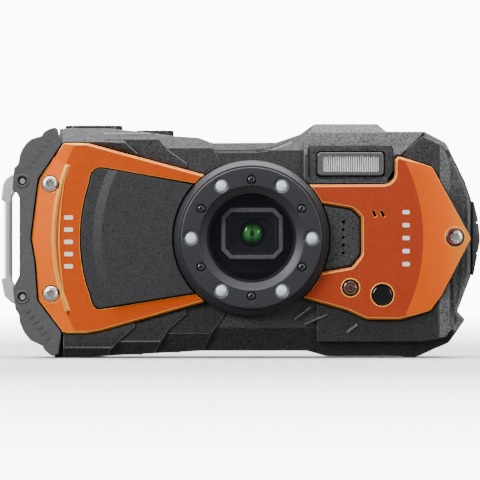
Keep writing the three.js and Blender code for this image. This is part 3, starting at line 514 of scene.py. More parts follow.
def lathe(profile_mm, place, segments=64):
    """bmesh turned about the Y-parallel line through `place`; profile rows are (radius, y), y from place."""
    bm = bmesh.new()
    rings = []
    for radius, depth in profile_mm:
        if radius == 0:
            rings.append([bm.verts.new((place[0], place[1] + depth * MM, place[2]))])
            continue
        turn = circle(place[0], place[2], radius * MM, segments)
        rings.append([bm.verts.new((x, place[1] + depth * MM, z)) for x, z in turn])
    closed = len(rings[0]) > 1 and len(rings[-1]) > 1
    pairs = list(zip(rings, rings[1:])) + ([(rings[-1], rings[0])] if closed else [])
    for first, second in pairs:
        for i in range(segments):
            k = (i + 1) % segments
            corners = [first[i % len(first)], first[k % len(first)],
                       second[k % len(second)], second[i % len(second)]]
            corners = list(dict.fromkeys(corners))
            if len(corners) > 2:
                bm.faces.new(corners)
    bmesh.ops.recalc_face_normals(bm, faces=bm.faces)
    return bm


def bridged(first, second):
    """bmesh between two outlines with the same number of points, closed at both ends."""
    bm = bmesh.new()
    near = [bm.verts.new(point) for point in first]
    far = [bm.verts.new(point) for point in second]
    bm.faces.new(near)
    bm.faces.new(reversed(far))
    for i, corner in enumerate(near):
        k = (i + 1) % len(near)
        bm.faces.new((corner, far[i], far[k], near[k]))
    bmesh.ops.recalc_face_normals(bm, faces=bm.faces)
    return bm


def prism(outline, y_front, y_rear):
    """bmesh extruded along Y from an outline of (x, z) in metres."""
    return bridged([(x, y_front, z) for x, z in outline], [(x, y_rear, z) for x, z in outline])


def carve(piece, cutters, operation="DIFFERENCE"):
    """Cuts bmesh solids out of a piece, or keeps only what lies inside them, and applies the result."""
    for bm in cutters:
        if operation == "DIFFERENCE" and not overlaps(piece, bm):
            bm.free()
            continue
        cutter = finish_mesh("cutter", bm)
        boolean = piece.modifiers.new("cut", "BOOLEAN")
        boolean.operation = operation
        boolean.solver = "EXACT"
        boolean.object = cutter
        apply_modifiers(piece)
        bpy.data.objects.remove(cutter)


def overlaps(piece, bm):
    for i in range(3):
        own = [vertex.co[i] for vertex in piece.data.vertices]
        other = [vertex.co[i] for vertex in bm.verts]
        if not own or max(other) < min(own) or min(other) > max(own):
            return False
    return True


def apply_modifiers(piece):
    graph = bpy.context.evaluated_depsgraph_get()
    mesh = bpy.data.meshes.new_from_object(piece.evaluated_get(graph))
    piece.modifiers.clear()
    piece.data = mesh


def star(centre, outer_mm, inner_mm, steps=48):
    """Outline of a rounded star recess: a six-lobed screw drive."""
    outline = []
    for i in range(steps):
        angle = 2 * math.pi * i / steps
        wave = 0.5 + 0.5 * math.cos(6 * angle)
        radius = (inner_mm + (outer_mm - inner_mm) * wave) * MM
        outline.append((centre.x + radius * math.cos(angle), centre.z + radius * math.sin(angle)))
    return outline


def moved(bm, place_mm, degrees, axis):
    """Turns a bmesh made at the origin about `axis` and carries it to a place in millimetres."""
    turn = Matrix.Rotation(math.radians(degrees), 3, axis)
    bmesh.ops.rotate(bm, cent=(0, 0, 0), matrix=turn, verts=bm.verts)
    bmesh.ops.translate(bm, vec=Vector(place_mm) * MM, verts=bm.verts)
    return bm


def ribbon(name, rows_mm, thickness, material):
    """A thin strip through rows of two points each."""
    bm = bmesh.new()
    rows = [[bm.verts.new(Vector(point) * MM) for point in row] for row in rows_mm]
    for left, right in zip(rows, rows[1:]):
        bm.faces.new((left[0], right[0], right[1], left[1]))
    bmesh.ops.recalc_face_normals(bm, faces=bm.faces)
    piece = fixed(name, bm, material)
    piece.modifiers.new("thickness", "SOLIDIFY").thickness = thickness


def seats(profile, centres, segments):
    """The same turned cutter at each of several centres."""
    return [lathe(profile, (centre.x, 0, centre.z), segments) for centre in centres]


def circle(x, z, radius, steps=24):
    turns = [2 * math.pi * i / steps for i in range(steps)]
    return [(x + radius * math.cos(turn), z + radius * math.sin(turn)) for turn in turns]


# ---- lens ring

RING_SEGMENTS = 192


def make_lens_ring():
    place = (LENS.x, 0, LENS.z)
    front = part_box("lens_ring_cover")[0].y / MM
    cover = lathe([
        (13.45, front + 0.3), (13.6, front + 0.08), (13.85, front), (18.1, front), (18.45, front + 0.12),
        (18.6, front + 0.45), (18.6, front + 1.35), (11.62, front + 1.5), (11.7, front + 1.28),
    ], place, RING_SEGMENTS)
    lamp_seat = [(0, front - 1), (2.12, front - 1), (2.12, front + 3), (0, front + 3)]
    screw_seat = [(0, front - 1), (1.28, front - 1), (1.28, front + 0.65), (0.8, front + 0.65),
                  (0.8, front + 3), (0, front + 3)]
    base = lathe([
        (18.75, -13.15), (18.95, -13.2), (19.15, -13.05), (20.25, -11.55), (20.4, -11.3), (20.4, -8.6),
        (16.5, -8.6), (16.5, -5.4), (11.0, -5.4), (11.0, -10.7), (11.8, -10.7), (11.8, -13.0), (12.0, -13.15),
        (18.6, -13.15),
    ], place, RING_SEGMENTS)
    lamp_well = [(0, -14), (2.32, -14), (2.32, -11.4), (0, -11.4)]
    cover_holes = seats(lamp_seat, LEDS, 48) + seats(screw_seat, RING_SCREWS, 36)
    rings = (("lens_ring_cover", cover, cover_holes, 0.09),
             ("lens_base_ring", base, seats(lamp_well, LEDS, 32), 0.08))
    for name, bm, cutters, bevel in rings:
        piece = finish_mesh(name + "_form", bm)
        carve(piece, cutters)
        shade(piece.data, True)
        add_bevel(piece, bevel, 32, 2)
        dress(piece, "ring_metal", "root", (name,))

    profile = [(0, -12.6), (11.15, -12.6), (11.42, -12.5), (11.5, -12.3), (11.5, -11.0), (0, -11.0)]
    fixed("lens_glass_form", lathe(profile, place, 128), "clear_glass", ("lens_glass",))


def make_leds():
    for k, centre in enumerate(LEDS, 1):
        place = (centre.x, 0, centre.z)
        dome = lathe([(0, -14.52), (0.5, -14.49), (0.95, -14.38), (1.3, -14.2), (1.54, -13.95),
                      (1.64, -13.7), (1.66, -13.3), (1.66, -11.6), (0, -11.6)], place, 48)
        fixed(f"macro_led_{k}_dome", dome, "led_lens", (f"macro_led_{k}",), smooth=True)
        seat = lathe([(1.72, -14.3), (1.8, -14.42), (1.92, -14.46), (2.04, -14.4), (2.08, -14.2),
                      (2.08, -13.2), (1.72, -13.2)], place, 48)
        fixed(f"macro_led_{k}_seat", seat, "led_seat", smooth=True)


def drive(centre, outer, inner, front, rear, turn):
    """Solid that fills a screw's six-lobed drive, turned by `turn` radians."""
    bm = prism(star(centre, outer, inner), front, rear)
    bmesh.ops.rotate(bm, cent=(centre.x, 0, centre.z), matrix=Matrix.Rotation(turn, 3, "Y"), verts=bm.verts)
    return bm


def screw(node_name, profile, outer, inner, depth, turn, material, drive_shade_paint):
    """A turned screw with a star drive, and a darker plug at the drive's floor as painted shade."""
    centre = middle(node_name)
    name = node_name + "_form"
    piece = finish_mesh(name, lathe(profile, (centre.x, 0, centre.z), 48))
    front = profile[0][1] * MM
    floor = front + depth * MM
    carve(piece, [drive(centre, outer, inner, front - 0.001, floor, turn)])
    shade(piece.data, True)
    add_bevel(piece, 0.04, 40, 2)
    dress(piece, material, "root", (node_name,))
    plug = drive(centre, outer * 0.97, inner * 0.97, front + depth * 0.6 * MM, floor, turn)
    fixed(name + "_socket", plug, drive_shade_paint)


def make_screws():
    for k in range(1, 7):
        top = extent_mm(f"ring_screw_{k}")[2]
        profile = [(0, top), (0.55, top + 0.02), (0.8, top + 0.1), (0.93, top + 0.24), (0.93, top + 0.5),
                   (0.5, top + 0.52), (0.5, top + 3.2), (0, top + 3.2)]
        screw(f"ring_screw_{k}", profile, 0.55, 0.36, 0.35, 0.4 * k, "dark_steel", "hole_black")
    for k in range(1, 4):
        x0, x1, top, *_ = extent_mm(f"plate_screw_{k}")
        head = (x1 - x0) / 2
        profile = [(0, top), (head * 0.45, top + 0.03), (head * 0.72, top + 0.14), (head * 0.9, top + 0.36),
                   (head, top + 0.68), (head, top + 1.15), (1.0, top + 1.2), (1.0, top + 5.2), (0, top + 5.2)]
        screw(f"plate_screw_{k}", profile, head * 0.56, head * 0.4, 0.7, 0.7 * k, "polished_steel",
              "socket_steel")


def make_optics():
    centre = middle("front_lens_element")
    x, z = centre.x / MM, centre.z / MM

    def window(half_x, half_z, corner, y0, y1):
        """A chamfered block round the lens axis, drawn counter-clockwise from the lower left."""
        corners = ((-1, -1, corner, 0), (1, -1, corner, 0), (1, -1, 0, corner), (1, 1, 0, corner),
                   (1, 1, corner, 0), (-1, 1, corner, 0), (-1, 1, 0, corner), (-1, -1, 0, corner))
        outline = [(x + sx * (half_x - cx), z + sz * (half_z - cz)) for sx, sz, cx, cz in corners]
        return slab(outline, y0, y1)

    steps = [(7.0, 5.6, 1.7, -12, -9.7), (6.4, 5.1, 1.5, -10, -9.2), (5.8, 4.6, 1.3, -10, -8.7),
             (5.1, 4.1, 1.1, -9, -8.2), (4.5, 3.7, 0.9, -9, -7.6)]
    cutters = [window(*step) for step in steps] + [slab(circle(x, z, 3.5, 64), -9, -4)]
    mask = carved("lens_mask_form", window(8.1, 6.75, 2.3, -10.5, -5.7), 0.25, 30, cutters, 30)
    dress(mask, "inner_plastic", "root", ("lens_mask",))
    # The front faces take a paler grey than the recessed steps: painted light.
    mask.data.materials.append(MATERIALS["mask_plastic"])
    for polygon in mask.data.polygons:
        polygon.material_index = 1 if polygon.center.y < -9.75 * MM else 0

    element = lathe([(0, -7.25), (0.8, -7.2), (1.6, -7.03), (2.3, -6.74), (2.85, -6.35), (3.2, -5.9),
                     (3.2, -4.9), (0, -4.7)], (centre.x, 0, centre.z), 64)
    fixed("front_lens_element_form", element, "coated_glass", ("front_lens_element",), smooth=True)


# ---- flash

FLASH_RIBS = 26
RIB_STEPS = 4


def make_flash():
    x0, x1, front, _, z0, z1 = extent_mm("flash_window")
    outer = slab(rounded_box(x0, x1, z0, z1, 0.9), front, front + 1.3)
    inner = slab(rounded_box(x0 + 1.2, x1 - 1.2, z0 + 1.0, z1 - 1.0, 0.4), front - 1, front + 2)
    piece = carved("flash_frame", outer, 0.3, 30, [inner])
    dress(piece, "flash_frame", "root", ("flash_window",))

    rows = []
    columns = FLASH_RIBS * RIB_STEPS
    for i in range(columns + 1):
        x = x0 + 1.1 + (x1 - x0 - 2.2) * i / columns
        y = front + 0.95 - 0.7 * abs(math.sin(math.pi * i / RIB_STEPS))
        rows.append([(x, y, z0 + 0.9), (x, y, z1 - 0.9)])
    ribbon("flash_ribs", rows, 0.0003, "flash_lens")


# ---- shells and plates

CASE_OUTLINE = [
    (-48.9, 0), (-40.2, 0), (-35.5, 0.5), (-23.3, 1.1), (-10.4, 1.8), (17.5, 1.8), (22.7, 0.35),
    (46.8, 0.35), (50.3, 2.0), (54.7, 3.9), (59.0, 10.0), (57.0, 12.2), (58.4, 15.8), (60.6, 21.5),
    (60.7, 41.4), (59.0, 46.3), (53.9, 56.5), (48.5, 59.4), (38.3, 59.4), (36.1, 61.4), (19.35, 61.4),
    (15.7, 58.7), (9.3, 56.5), (-7.3, 56.4), (-11.0, 57.8), (-17.3, 58.2), (-27.7, 59.5), (-34.2, 60.2),
    (-47.6, 60.2), (-47.6, 58.6), (-51.0, 57.6), (-54.5, 55.4), (-56.2, 51.5), (-56.2, 10.5),
    (-54.6, 6.6), (-51.5, 4.4), (-48.9, 2.6),
]
ROOM_OUTLINE = [
    (-46.9, 4.2), (-40.0, 3.2), (-10.0, 3.9), (18.0, 3.9), (24.0, 2.6), (48.0, 2.6), (53.2, 5.9),
    (55.8, 10.0), (54.6, 12.3), (58.6, 22.0), (58.6, 41.2), (52.4, 55.1), (48.0, 57.3), (37.4, 57.3),
    (35.2, 59.3), (20.2, 59.3),
    (16.2, 56.5), (9.6, 54.4), (-7.8, 54.4), (-11.4, 55.9), (-30.2, 57.4), (-45.6, 58.0), (-50.0, 55.6),
    (-53.0, 54.0), (-54.2, 51.2), (-54.2, 10.9), (-52.9, 7.7), (-50.4, 6.0),
]
BANDS = [
    (-9.6, [(-56.2, 8), (-44, 8), (-44, 56.2), (-50, 57.4), (-54.5, 54.6), (-56.2, 51)]),
    (-9.4, [(38, 45.6), (42.2, 53.3), (47.6, 58.2), (53.2, 55.6), (58.2, 46.1), (59.9, 41.2), (59.8, 21.7),
            (57.6, 16.0), (56.4, 12.2), (57.6, 9.9), (54, 5.4), (48, 4.2), (20, 4.2), (20, 14), (38, 14)]),
]
ARMOUR = [
    (-10.2, [(-10.2, 56.5), (-6.2, 60.3)],
     [(-46.7, 61), (-35.0, 61), (-34.2, 60.2), (-26.9, 53.6), (-26.9, 44), (-46.7, 44)]),
    (-9.6, [(-9.6, 57.4), (-8.2, 58.9), (-6.2, 60.3)],
     [(-36.0, 61), (-22.5, 61), (-22.5, 58.7), (-18.8, 54.4), (-14.0, 51.0), (-14.0, 44), (-36.0, 44)]),
    (-9.0, [(-9.0, 55.5), (-7.0, 57.6), (-6.2, 58.6)],
     [(-24.0, 60), (-8.5, 60), (-8.5, 57.2), (-7.3, 55.4), (-4.8, 50.6), (-4.8, 44), (-24.0, 44)]),
    (-10.0, [(-10.0, 56.8), (-8.0, 59.1), (-7.2, 61.4)],
     [(16.6, 45.6), (16.6, 57.0), (19.5, 61.4), (36.0, 61.4), (38.3, 59.4), (48.5, 59.4), (42.2, 53.3),
      (41.2, 45.6)]),
    (-10.2, [(-10.2, 2.7), (-8.6, -0.2)],
     [(-46.4, -1), (-34.3, -1), (-34.3, 1.7), (-31.7, 4.6), (-27.7, 8.0), (-27.7, 15), (-46.4, 15)]),
    (-9.6, [(-9.6, 4.3), (-7.4, -0.2)],
     [(-36.0, -1), (-22.2, -1), (-22.2, 1.9), (-19.0, 7.2), (-14.2, 11.4), (-14.2, 18), (-36.0, 18)]),
    (-9.0, [(-9.0, 6.4), (-6.6, -0.2)],
     [(-24.0, -1), (-9.5, -1), (-9.5, 2.5), (-7.6, 6.3), (-4.0, 11.6), (-4.0, 20), (-24.0, 20)]),
]
LEFT_PLATE = [
    (-46.3, 56.3, 0.8), (-40.15, 56.3, 1.5), (-5.0, 46.8), (-5.0, 15.9), (-36.4, 7.0, 6), (-39.8, 6.4, 3),
    (-45.3, 6.4, 0.8), (-46.5, 6.8), (-52.9, 15.2, 1), (-53.6, 25.4, 3), (-54.7, 31.4, 1), (-53.1, 44.5, 3),
    (-52.7, 46.9, 1),
]
RIGHT_PLATE = [
    (14.0, 16.4), (27.9, 12.4, 4), (33.2, 10.0, 4), (41.7, 9.9, 4), (49.8, 12.4, 2), (52.7, 16.3, 2),
    (60.5, 31.3, 0.8), (50.3, 50.0, 1.5), (41.4, 52.9, 1), (40.5, 52.0), (40.5, 45.5, 3), (14.0, 45.4),
]
FOOT = [(43.1, 0), (46.1, 0), (46.1, 1.5), (43.1, 1.5)]
CORE_FRONT = -8.4
GASKET_FRONT, GASKET_REAR = 2.9, 3.9
CASE_REAR = 12.6
PLATE_FACE = -11.0
DIP_FOOT = 54.4
DIP_SLOPE = 0.776
FLANGE_LIP = 0.4


def slab(outline_mm, y_front, y_rear):
    return prism([(x * MM, z * MM) for x, z in outline_mm], y_front * MM, y_rear * MM)


def shave(bm, point_mm, normal):
    """Cuts off what lies on the side that `normal` points to and closes the cut."""
    bmesh.ops.bisect_plane(bm, geom=bm.verts[:] + bm.edges[:] + bm.faces[:], plane_co=Vector(point_mm) * MM,
                           plane_no=Vector(normal), clear_outer=True, dist=1e-7)
    rim = [edge for edge in bm.edges if edge.is_boundary]
    if rim:
        bmesh.ops.holes_fill(bm, edges=rim, sides=0)
    bmesh.ops.recalc_face_normals(bm, faces=bm.faces)


def shave_profile(bm, profile_yz, upward):
    """Chamfers running along X: each pair of (y, z) points gives one plane."""
    for (y0, z0), (y1, z1) in zip(profile_yz, profile_yz[1:]):
        normal = Vector((0, -(z1 - z0), y1 - y0)) if upward else Vector((0, z1 - z0, -(y1 - y0)))
        shave(bm, (0, y0, z0), normal)


def flatten_normals(piece, sharp=50):
    shade(piece.data, True)
    piece.data.set_sharp_from_angle(angle=math.radians(sharp))
    weigh_normals(piece)


def tidy_faces(piece):
    bm = bmesh.new()
    bm.from_mesh(piece.data)
    bmesh.ops.remove_doubles(bm, verts=bm.verts, dist=1e-5)
    bmesh.ops.dissolve_limit(bm, angle_limit=math.radians(0.3), verts=bm.verts, edges=bm.edges)
    bm.to_mesh(piece.data)
    bm.free()


def finish_shell(name, bm, cutters, width, cad_node, inside=None, edge_tint=None):
    """Bevels, cuts and dresses one layer of a shell. With a bevel paint, its bevels take that paint (the
    painted highlight colour on the armour) and its front facets take painted light and shade.
    """
    piece = finish_mesh(name, bm)
    if inside:
        carve(piece, [inside()], "INTERSECT")
        tidy_faces(piece)
    add_bevel(piece, width, 10, 2)
    if edge_tint:
        piece.data.materials.append(MATERIALS["shell_plastic"])
        piece.data.materials.append(MATERIALS[edge_tint])
        piece.modifiers["rounding"].material = 1
    apply_modifiers(piece)
    carve(piece, [cutter() for cutter in cutters])
    flatten_normals(piece)
    slot = SLOT_OF[cad_node]
    tints = (edge_tint, "shell_light", "shell_dark") if edge_tint else ()
    dress(piece, slot, "root", (cad_node,), tints)
    if edge_tint:
        for polygon in piece.data.polygons:
            if polygon.material_index == 0:
                polygon.material_index = lit_or_shaded_shell_slot(polygon.normal, polygon.center)


def lit_or_shaded_shell_slot(normal, centre):
    """Slot 2, a painted lit copy of the plastic, for the hump and right band that face the lamps; 3, a
    painted shaded copy, for the low facets and those facing down.
    """
    faces_front = normal.y < -0.2
    leans_up = normal.z > 0.25 and centre.x > 0.018
    leans_right = normal.x > 0.3 and centre.x > 0.045
    if faces_front and (leans_up or leans_right):
        return 2
    return 3 if faces_front and (normal.z < -0.15 or centre.z < 0.0125) else 0


def carved(name, bm, bevel_mm, angle, cutters, sharp=50):
    """A mesh that is bevelled first and cut afterwards, so that the cuts keep crisp edges."""
    piece = finish_mesh(name, bm)
    add_bevel(piece, bevel_mm, angle, 3)
    apply_modifiers(piece)
    carve(piece, cutters)
    flatten_normals(piece, sharp)
    return piece


def disc_cutter(x, z, radius, y_front, y_rear, steps=64):
    return lambda: slab(circle(x, z, radius, steps), y_front, y_rear)


def slab_cutter(outline, y_front, y_rear):
    return lambda: slab(outline, y_front, y_rear)


def box_cutter(x0, x1, y0, y1, z0, z1):
    return slab_cutter([(x0, z0), (x1, z0), (x1, z1), (x0, z1)], y0, y1)


def rounded_box(x0, x1, z0, z1, radius, steps=6):
    points = []
    corners = [(x1 - radius, z0 + radius, -90), (x1 - radius, z1 - radius, 0), (x0 + radius, z1 - radius, 90),
               (x0 + radius, z0 + radius, 180)]
    for cx, cz, start in corners:
        for i in range(steps + 1):
            angle = math.radians(start + 90 * i / steps)
            points.append((cx + radius * math.cos(angle), cz + radius * math.sin(angle)))
    return points


def pill(x, z, half_length, half_width):
    return rounded_box(x - half_length, x + half_length, z - half_width, z + half_width, half_width, 10)


def plan_cutter(outline_xy, z0, z1):
    """Solid with an (x, y) outline that runs up from z0 to z1."""
    low, high = ([(x * MM, y * MM, z * MM) for x, y in outline_xy] for z in (z0, z1))
    return lambda: bridged(low, high)


def roof_hole(node_name):
    """Hole for the cap of a top button, a lip narrower all round than its hidden flange."""
    x0, x1, y0, y1, _, _ = extent_mm(node_name)
    outline = pill((x0 + x1) / 2, (y0 + y1) / 2, (x1 - x0) / 2 - FLANGE_LIP, (y1 - y0) / 2 - FLANGE_LIP)
    return plan_cutter(outline, 54, 63)


def shared_cutters():
    return [
        slab_cutter(ROOM_OUTLINE, -5.6, 10.8),
        box_cutter(-46.3, -12.7, -5.6, 9.0, -1, 3.2),
        box_cutter(-46.3, -12.7, 8.5, 11.0, -1, 3.2),
        roof_hole("shutter_button"),
        roof_hole("power_button"),
        *(disc_cutter(x, z, 2.6, -2.7, 2.7, 32) for x, z in STRAP_PINS),
    ]


def turn_to(start, end):
    return Vector((end[0] - start[0], end[1] - start[1])).normalized()


def rounded(corners, steps=5):
    """Replaces each corner that has a third number by an arc of that radius."""
    points = []
    count = len(corners)
    for i, corner in enumerate(corners):
        if len(corner) < 3:
            points.append(corner)
            continue
        x, z, radius = corner
        before = turn_to(corner, corners[i - 1])
        after = turn_to(corner, corners[(i + 1) % count])
        half = before.angle(after) / 2
        centre = (before + after).normalized() * (radius / math.sin(half))
        start = before * (radius / math.tan(half)) - centre
        end = after * (radius / math.tan(half)) - centre
        turn = math.atan2(start.x * end.y - start.y * end.x, start.dot(end))
        for k in range(steps + 1):
            angle = turn * k / steps
            spoke = Vector((start.x * math.cos(angle) - start.y * math.sin(angle),
                            start.x * math.sin(angle) + start.y * math.cos(angle)))
            points.append((x + centre.x + spoke.x, z + centre.y + spoke.y))
    return points


def counter_clockwise(outline):
    area = sum(a[0] * b[1] - b[0] * a[1] for a, b in zip(outline, outline[1:] + outline[:1]))
    return outline if area > 0 else outline[::-1]


def inset(outline, distance):
    """Moves every edge inwards by `distance` millimetres, or outwards if it is negative."""
    loop = counter_clockwise([tuple(point[:2]) for point in outline])
    moved = []
    for i, point in enumerate(loop):
        along = turn_to(loop[i - 1], point)
        onward = turn_to(point, loop[(i + 1) % len(loop)])
        scale = distance / (1 + along.dot(onward))
        moved.append((point[0] - (along.y + onward.y) * scale, point[1] + (along.x + onward.x) * scale))
    return moved


def make_dip_lines():
    """The dark parting groove and the ledge, in a painted highlight colour, that sweep along the dip between
    grip and hump.
    """
    path = [(-8.0, 54.3), (-2.0, 54.3), (3.0, 54.35), (6.5, 54.7), (9.0, 55.2), (11.5, 56.1), (13.6, 57.1)]
    strips = (("ledge", -0.35, 0.32, "shell_edge"), ("groove", 0.15, 0.13, "hole_black"))
    for name, rise, half, paint in strips:
        rows = []
        for x, z in path:
            heights = (z + rise - half, z + rise + half)
            rows.append([(x, CORE_FRONT - 0.06 + DIP_SLOPE * max(0.0, height - DIP_FOOT), height)
                         for height in heights])
        ribbon("front_shell_dip_" + name, rows, 0.0002, paint)


def make_front_shell():
    cutters = shared_cutters() + [
        disc_cutter(*spot("lens_glass"), 20.7, -14, -8.5, 160),
        disc_cutter(*spot("lens_glass"), 16.8, -14, -4, 96),
        slab_cutter(inset(rounded(LEFT_PLATE), -0.3), -12, CORE_FRONT),
        slab_cutter(inset(rounded(RIGHT_PLATE), -0.3), -12, CORE_FRONT),
        slab_cutter(rounded_box(17.6, 40.2, 46.1, 56.6, 2.5, 8), -12, -9.2),
        slab_cutter(rounded_box(19.9, 37.9, 47.5, 54.2, 0.8), -12, -4),
        box_cutter(59.6, 62, -2.2, 2.4, 25, 38),
        plan_cutter(circle(12, -1.4, 4.2, 48), -1, 9),
    ]
    side_plane = ((51.5, -9.6, 0), (3.6, -10.5, 0))
    inside = slab_cutter(CASE_OUTLINE, -12, 5)

    core = slab(CASE_OUTLINE, CORE_FRONT, GASKET_FRONT)
    shave(core, (0, CORE_FRONT, DIP_FOOT), (0, -7.6, 5.9))
    shave(core, (0, CORE_FRONT, 8.0), (0, -8.5, -2.8))
    shave(core, *side_plane)
    finish_shell("front_shell_core", core, cutters, 0.3, "front_shell", None, "shell_plastic")
    for k, (front, outline) in enumerate(BANDS, 1):
        band = slab(outline, front, -4)
        shave(band, *side_plane)
        finish_shell(f"front_shell_band_{k}", band, cutters, 0.25, "front_shell", inside, "shell_plastic")
    # Armour scales: their bevels take the painted highlight colour.
    for k, (front, edge, outline) in enumerate(ARMOUR, 1):
        scale = slab(outline, front, -4)
        shave_profile(scale, edge, edge[0][1] > 30)
        finish_shell(f"front_shell_armour_{k}", scale, cutters, 0.2, "front_shell", inside, "shell_edge")
    # Three slim raised bars low on the front, in the painted highlight colour.
    slashes = (((14.2, 10.1), (18.5, 13.4), 0.18), ((16.8, 8.8), (22.8, 11.4), 0.18),
               ((28.0, 6.8), (30.7, 8.8), 0.3))
    for k, (low, high, half) in enumerate(slashes, 1):
        along = turn_to(low, high)
        side = Vector((-along.y, along.x)) * half
        corners = [(low[0] - side.x, low[1] - side.y), (high[0] - side.x, high[1] - side.y),
                   (high[0] + side.x, high[1] + side.y), (low[0] + side.x, low[1] + side.y)]
        fixed(f"front_shell_slash_{k}", slab(corners, -9.75, -7.5), "shell_edge")
    make_dip_lines()
    foot = slab(FOOT, -5.5, GASKET_FRONT)
    finish_shell("front_shell_foot", foot, [], 0.2, "front_shell")


def make_rear_shell():
    cutters = shared_cutters() + [
        slab_cutter(rounded_box(-8.3, 51.3, 8.2, 53.8, 2.5, 8), 11.7, 20),
        slab_cutter(rounded_box(-6, 49, 11, 51, 1), 8, 20),
        slab_cutter(pill(*spot("zoom_rocker"), 11.2, 3.85), 7, 16),
        disc_cutter(*spot("four_way_pad"), 10.75, 8, 16, 96),
    ]
    cutters += [disc_cutter(*spot(name), 3.2, 8, 16, 48) for name in ROUND_REAR_BUTTONS]
    core = slab(CASE_OUTLINE, GASKET_REAR, CASE_REAR)
    shave(core, (0, 9.8, -0.5), (0, 3.1, -2.8))
    shave(core, (0, CASE_REAR, 57.0), (0, 5.0, 3.0))
    shave(core, (58.4, CASE_REAR, 0), (3.2, 3.6, 0))
    shave(core, (-53.6, CASE_REAR, 0), (-3.2, 3.4, 0))
    finish_shell("rear_shell_core", core, cutters, 0.45, "rear_shell")
    thumb = [(-54.5, 31, 2), (-48, 31, 2), (-46, 40, 6), (-48.4, 50, 2), (-53.6, 50, 2)]
    finish_shell("rear_shell_thumb_rest", slab(rounded(thumb), 12.0, 14.75), [], 0.8, "rear_shell")
    foot = slab(FOOT, GASKET_REAR, 11.5)
    finish_shell("rear_shell_foot", foot, [], 0.2, "rear_shell")


def plate_painted_light_slot(face):
    """Painted light: the conical skirt of each plate takes a painted lit paint, paler than its flat middle;
    the ridge's outer flank takes the painted highlight colour.
    """
    normal = face.normal
    centre = face.calc_center_median()
    from_lens = math.hypot(centre.x - LENS.x, centre.z - LENS.z) / MM
    on_left = centre.x < 0
    if normal.y > -0.4:
        return 0
    if on_left and 51.0 < from_lens < 52.5 and normal.y > -0.98:
        return 2
    return 1 if from_lens > (52.5 if on_left else 45.4) else 0


PLATE_SCREW_FACE = -9.82
PLATE_LEAN = 8


def rim(name, place, radius, front, lean=0):
    """Thin raised edge round a hole in a face plate, coloured with a painted highlight; `lean` turns it with
    the plate, in degrees.
    """
    profile = [(radius, 0.35), (radius, 0.0), (radius + 0.1, -0.08), (radius + 0.28, -0.05),
               (radius + 0.36, 0.1), (radius + 0.36, 0.35)]
    ring = moved(lathe(profile, (0, 0, 0), 64), (place[0], front, place[1]), lean, "Z")
    fixed("right_plate_rim_" + name, ring, "orange_edge", smooth=True)


def make_plate_rims():
    screw_x, screw_z = spot("plate_screw_3")
    rim("lamp", spot("timer_lamp"), 2.26, PLATE_FACE)
    rim("remote", spot("remote_window"), 2.9, PLATE_FACE)
    rim("screw", (screw_x, screw_z), 2.5, PLATE_SCREW_FACE, PLATE_LEAN)
    # A dark ring in the screw's counterbore: painted shade.
    shade_ring = lathe([(1.2, -0.02), (2.5, -0.04), (2.5, 0.3), (1.2, 0.3)], (0, 0, 0), 64)
    moved(shade_ring, (screw_x, PLATE_SCREW_FACE, screw_z), PLATE_LEAN, "Z")
    fixed("right_plate_counterbore", shade_ring, "orange_shade", smooth=True)
    lamp = middle("timer_lamp")
    front = extent_mm("timer_lamp")[2]
    crest, foot = front - 0.03, front + 0.1
    for name, inner, outer in (("outer", 1.35, 1.6), ("inner", 0.6, 0.85)):
        profile = [(inner, foot), (inner + 0.08, crest), (outer, crest), (outer, foot)]
        ring = lathe(profile, (lamp.x, 0, lamp.z), 48)
        fixed("timer_lamp_ring_" + name, ring, "lamp_ring", smooth=True)


def make_marks():
    """Plain white dashes where the real plates carry lettering."""
    rows = (("left", -45.0, 1.15, 24.0, 3.2), ("right", 43.4, 0.95, 24.6, 3.4))
    for side, x, half, lowest, pitch in rows:
        for k in range(5):
            z = lowest + pitch * k
            bar = slab(rounded_box(x - half, x + half, z - 0.55, z + 0.55, 0.3, 3), -11.04, -10.9)
            fixed(f"{side}_mark_{k + 1}", bar, "white_print")


GUARD_EDGE = [
    (-48.5, 60.5), (-50.3, 59.9), (-51.5, 59.2), (-52.0, 58.2), (-54.7, 57.4), (-56.0, 56.4), (-57.1, 54.8),
    (-57.8, 53.1), (-58.2, 50.8), (-59.3, 49.8), (-59.5, 47.6), (-59.7, 44.0), (-58.5, 43.1), (-57.9, 41.9),
    (-57.9, 21.6), (-59.6, 18.4), (-59.0, 12.9), (-58.05, 11.3), (-57.8, 9.3), (-56.7, 6.8), (-55.0, 4.6),
    (-51.7, 3.1), (-51.5, 2.3), (-50.35, 1.2), (-49.2, 0.5), (-47.7, 1.0),
]


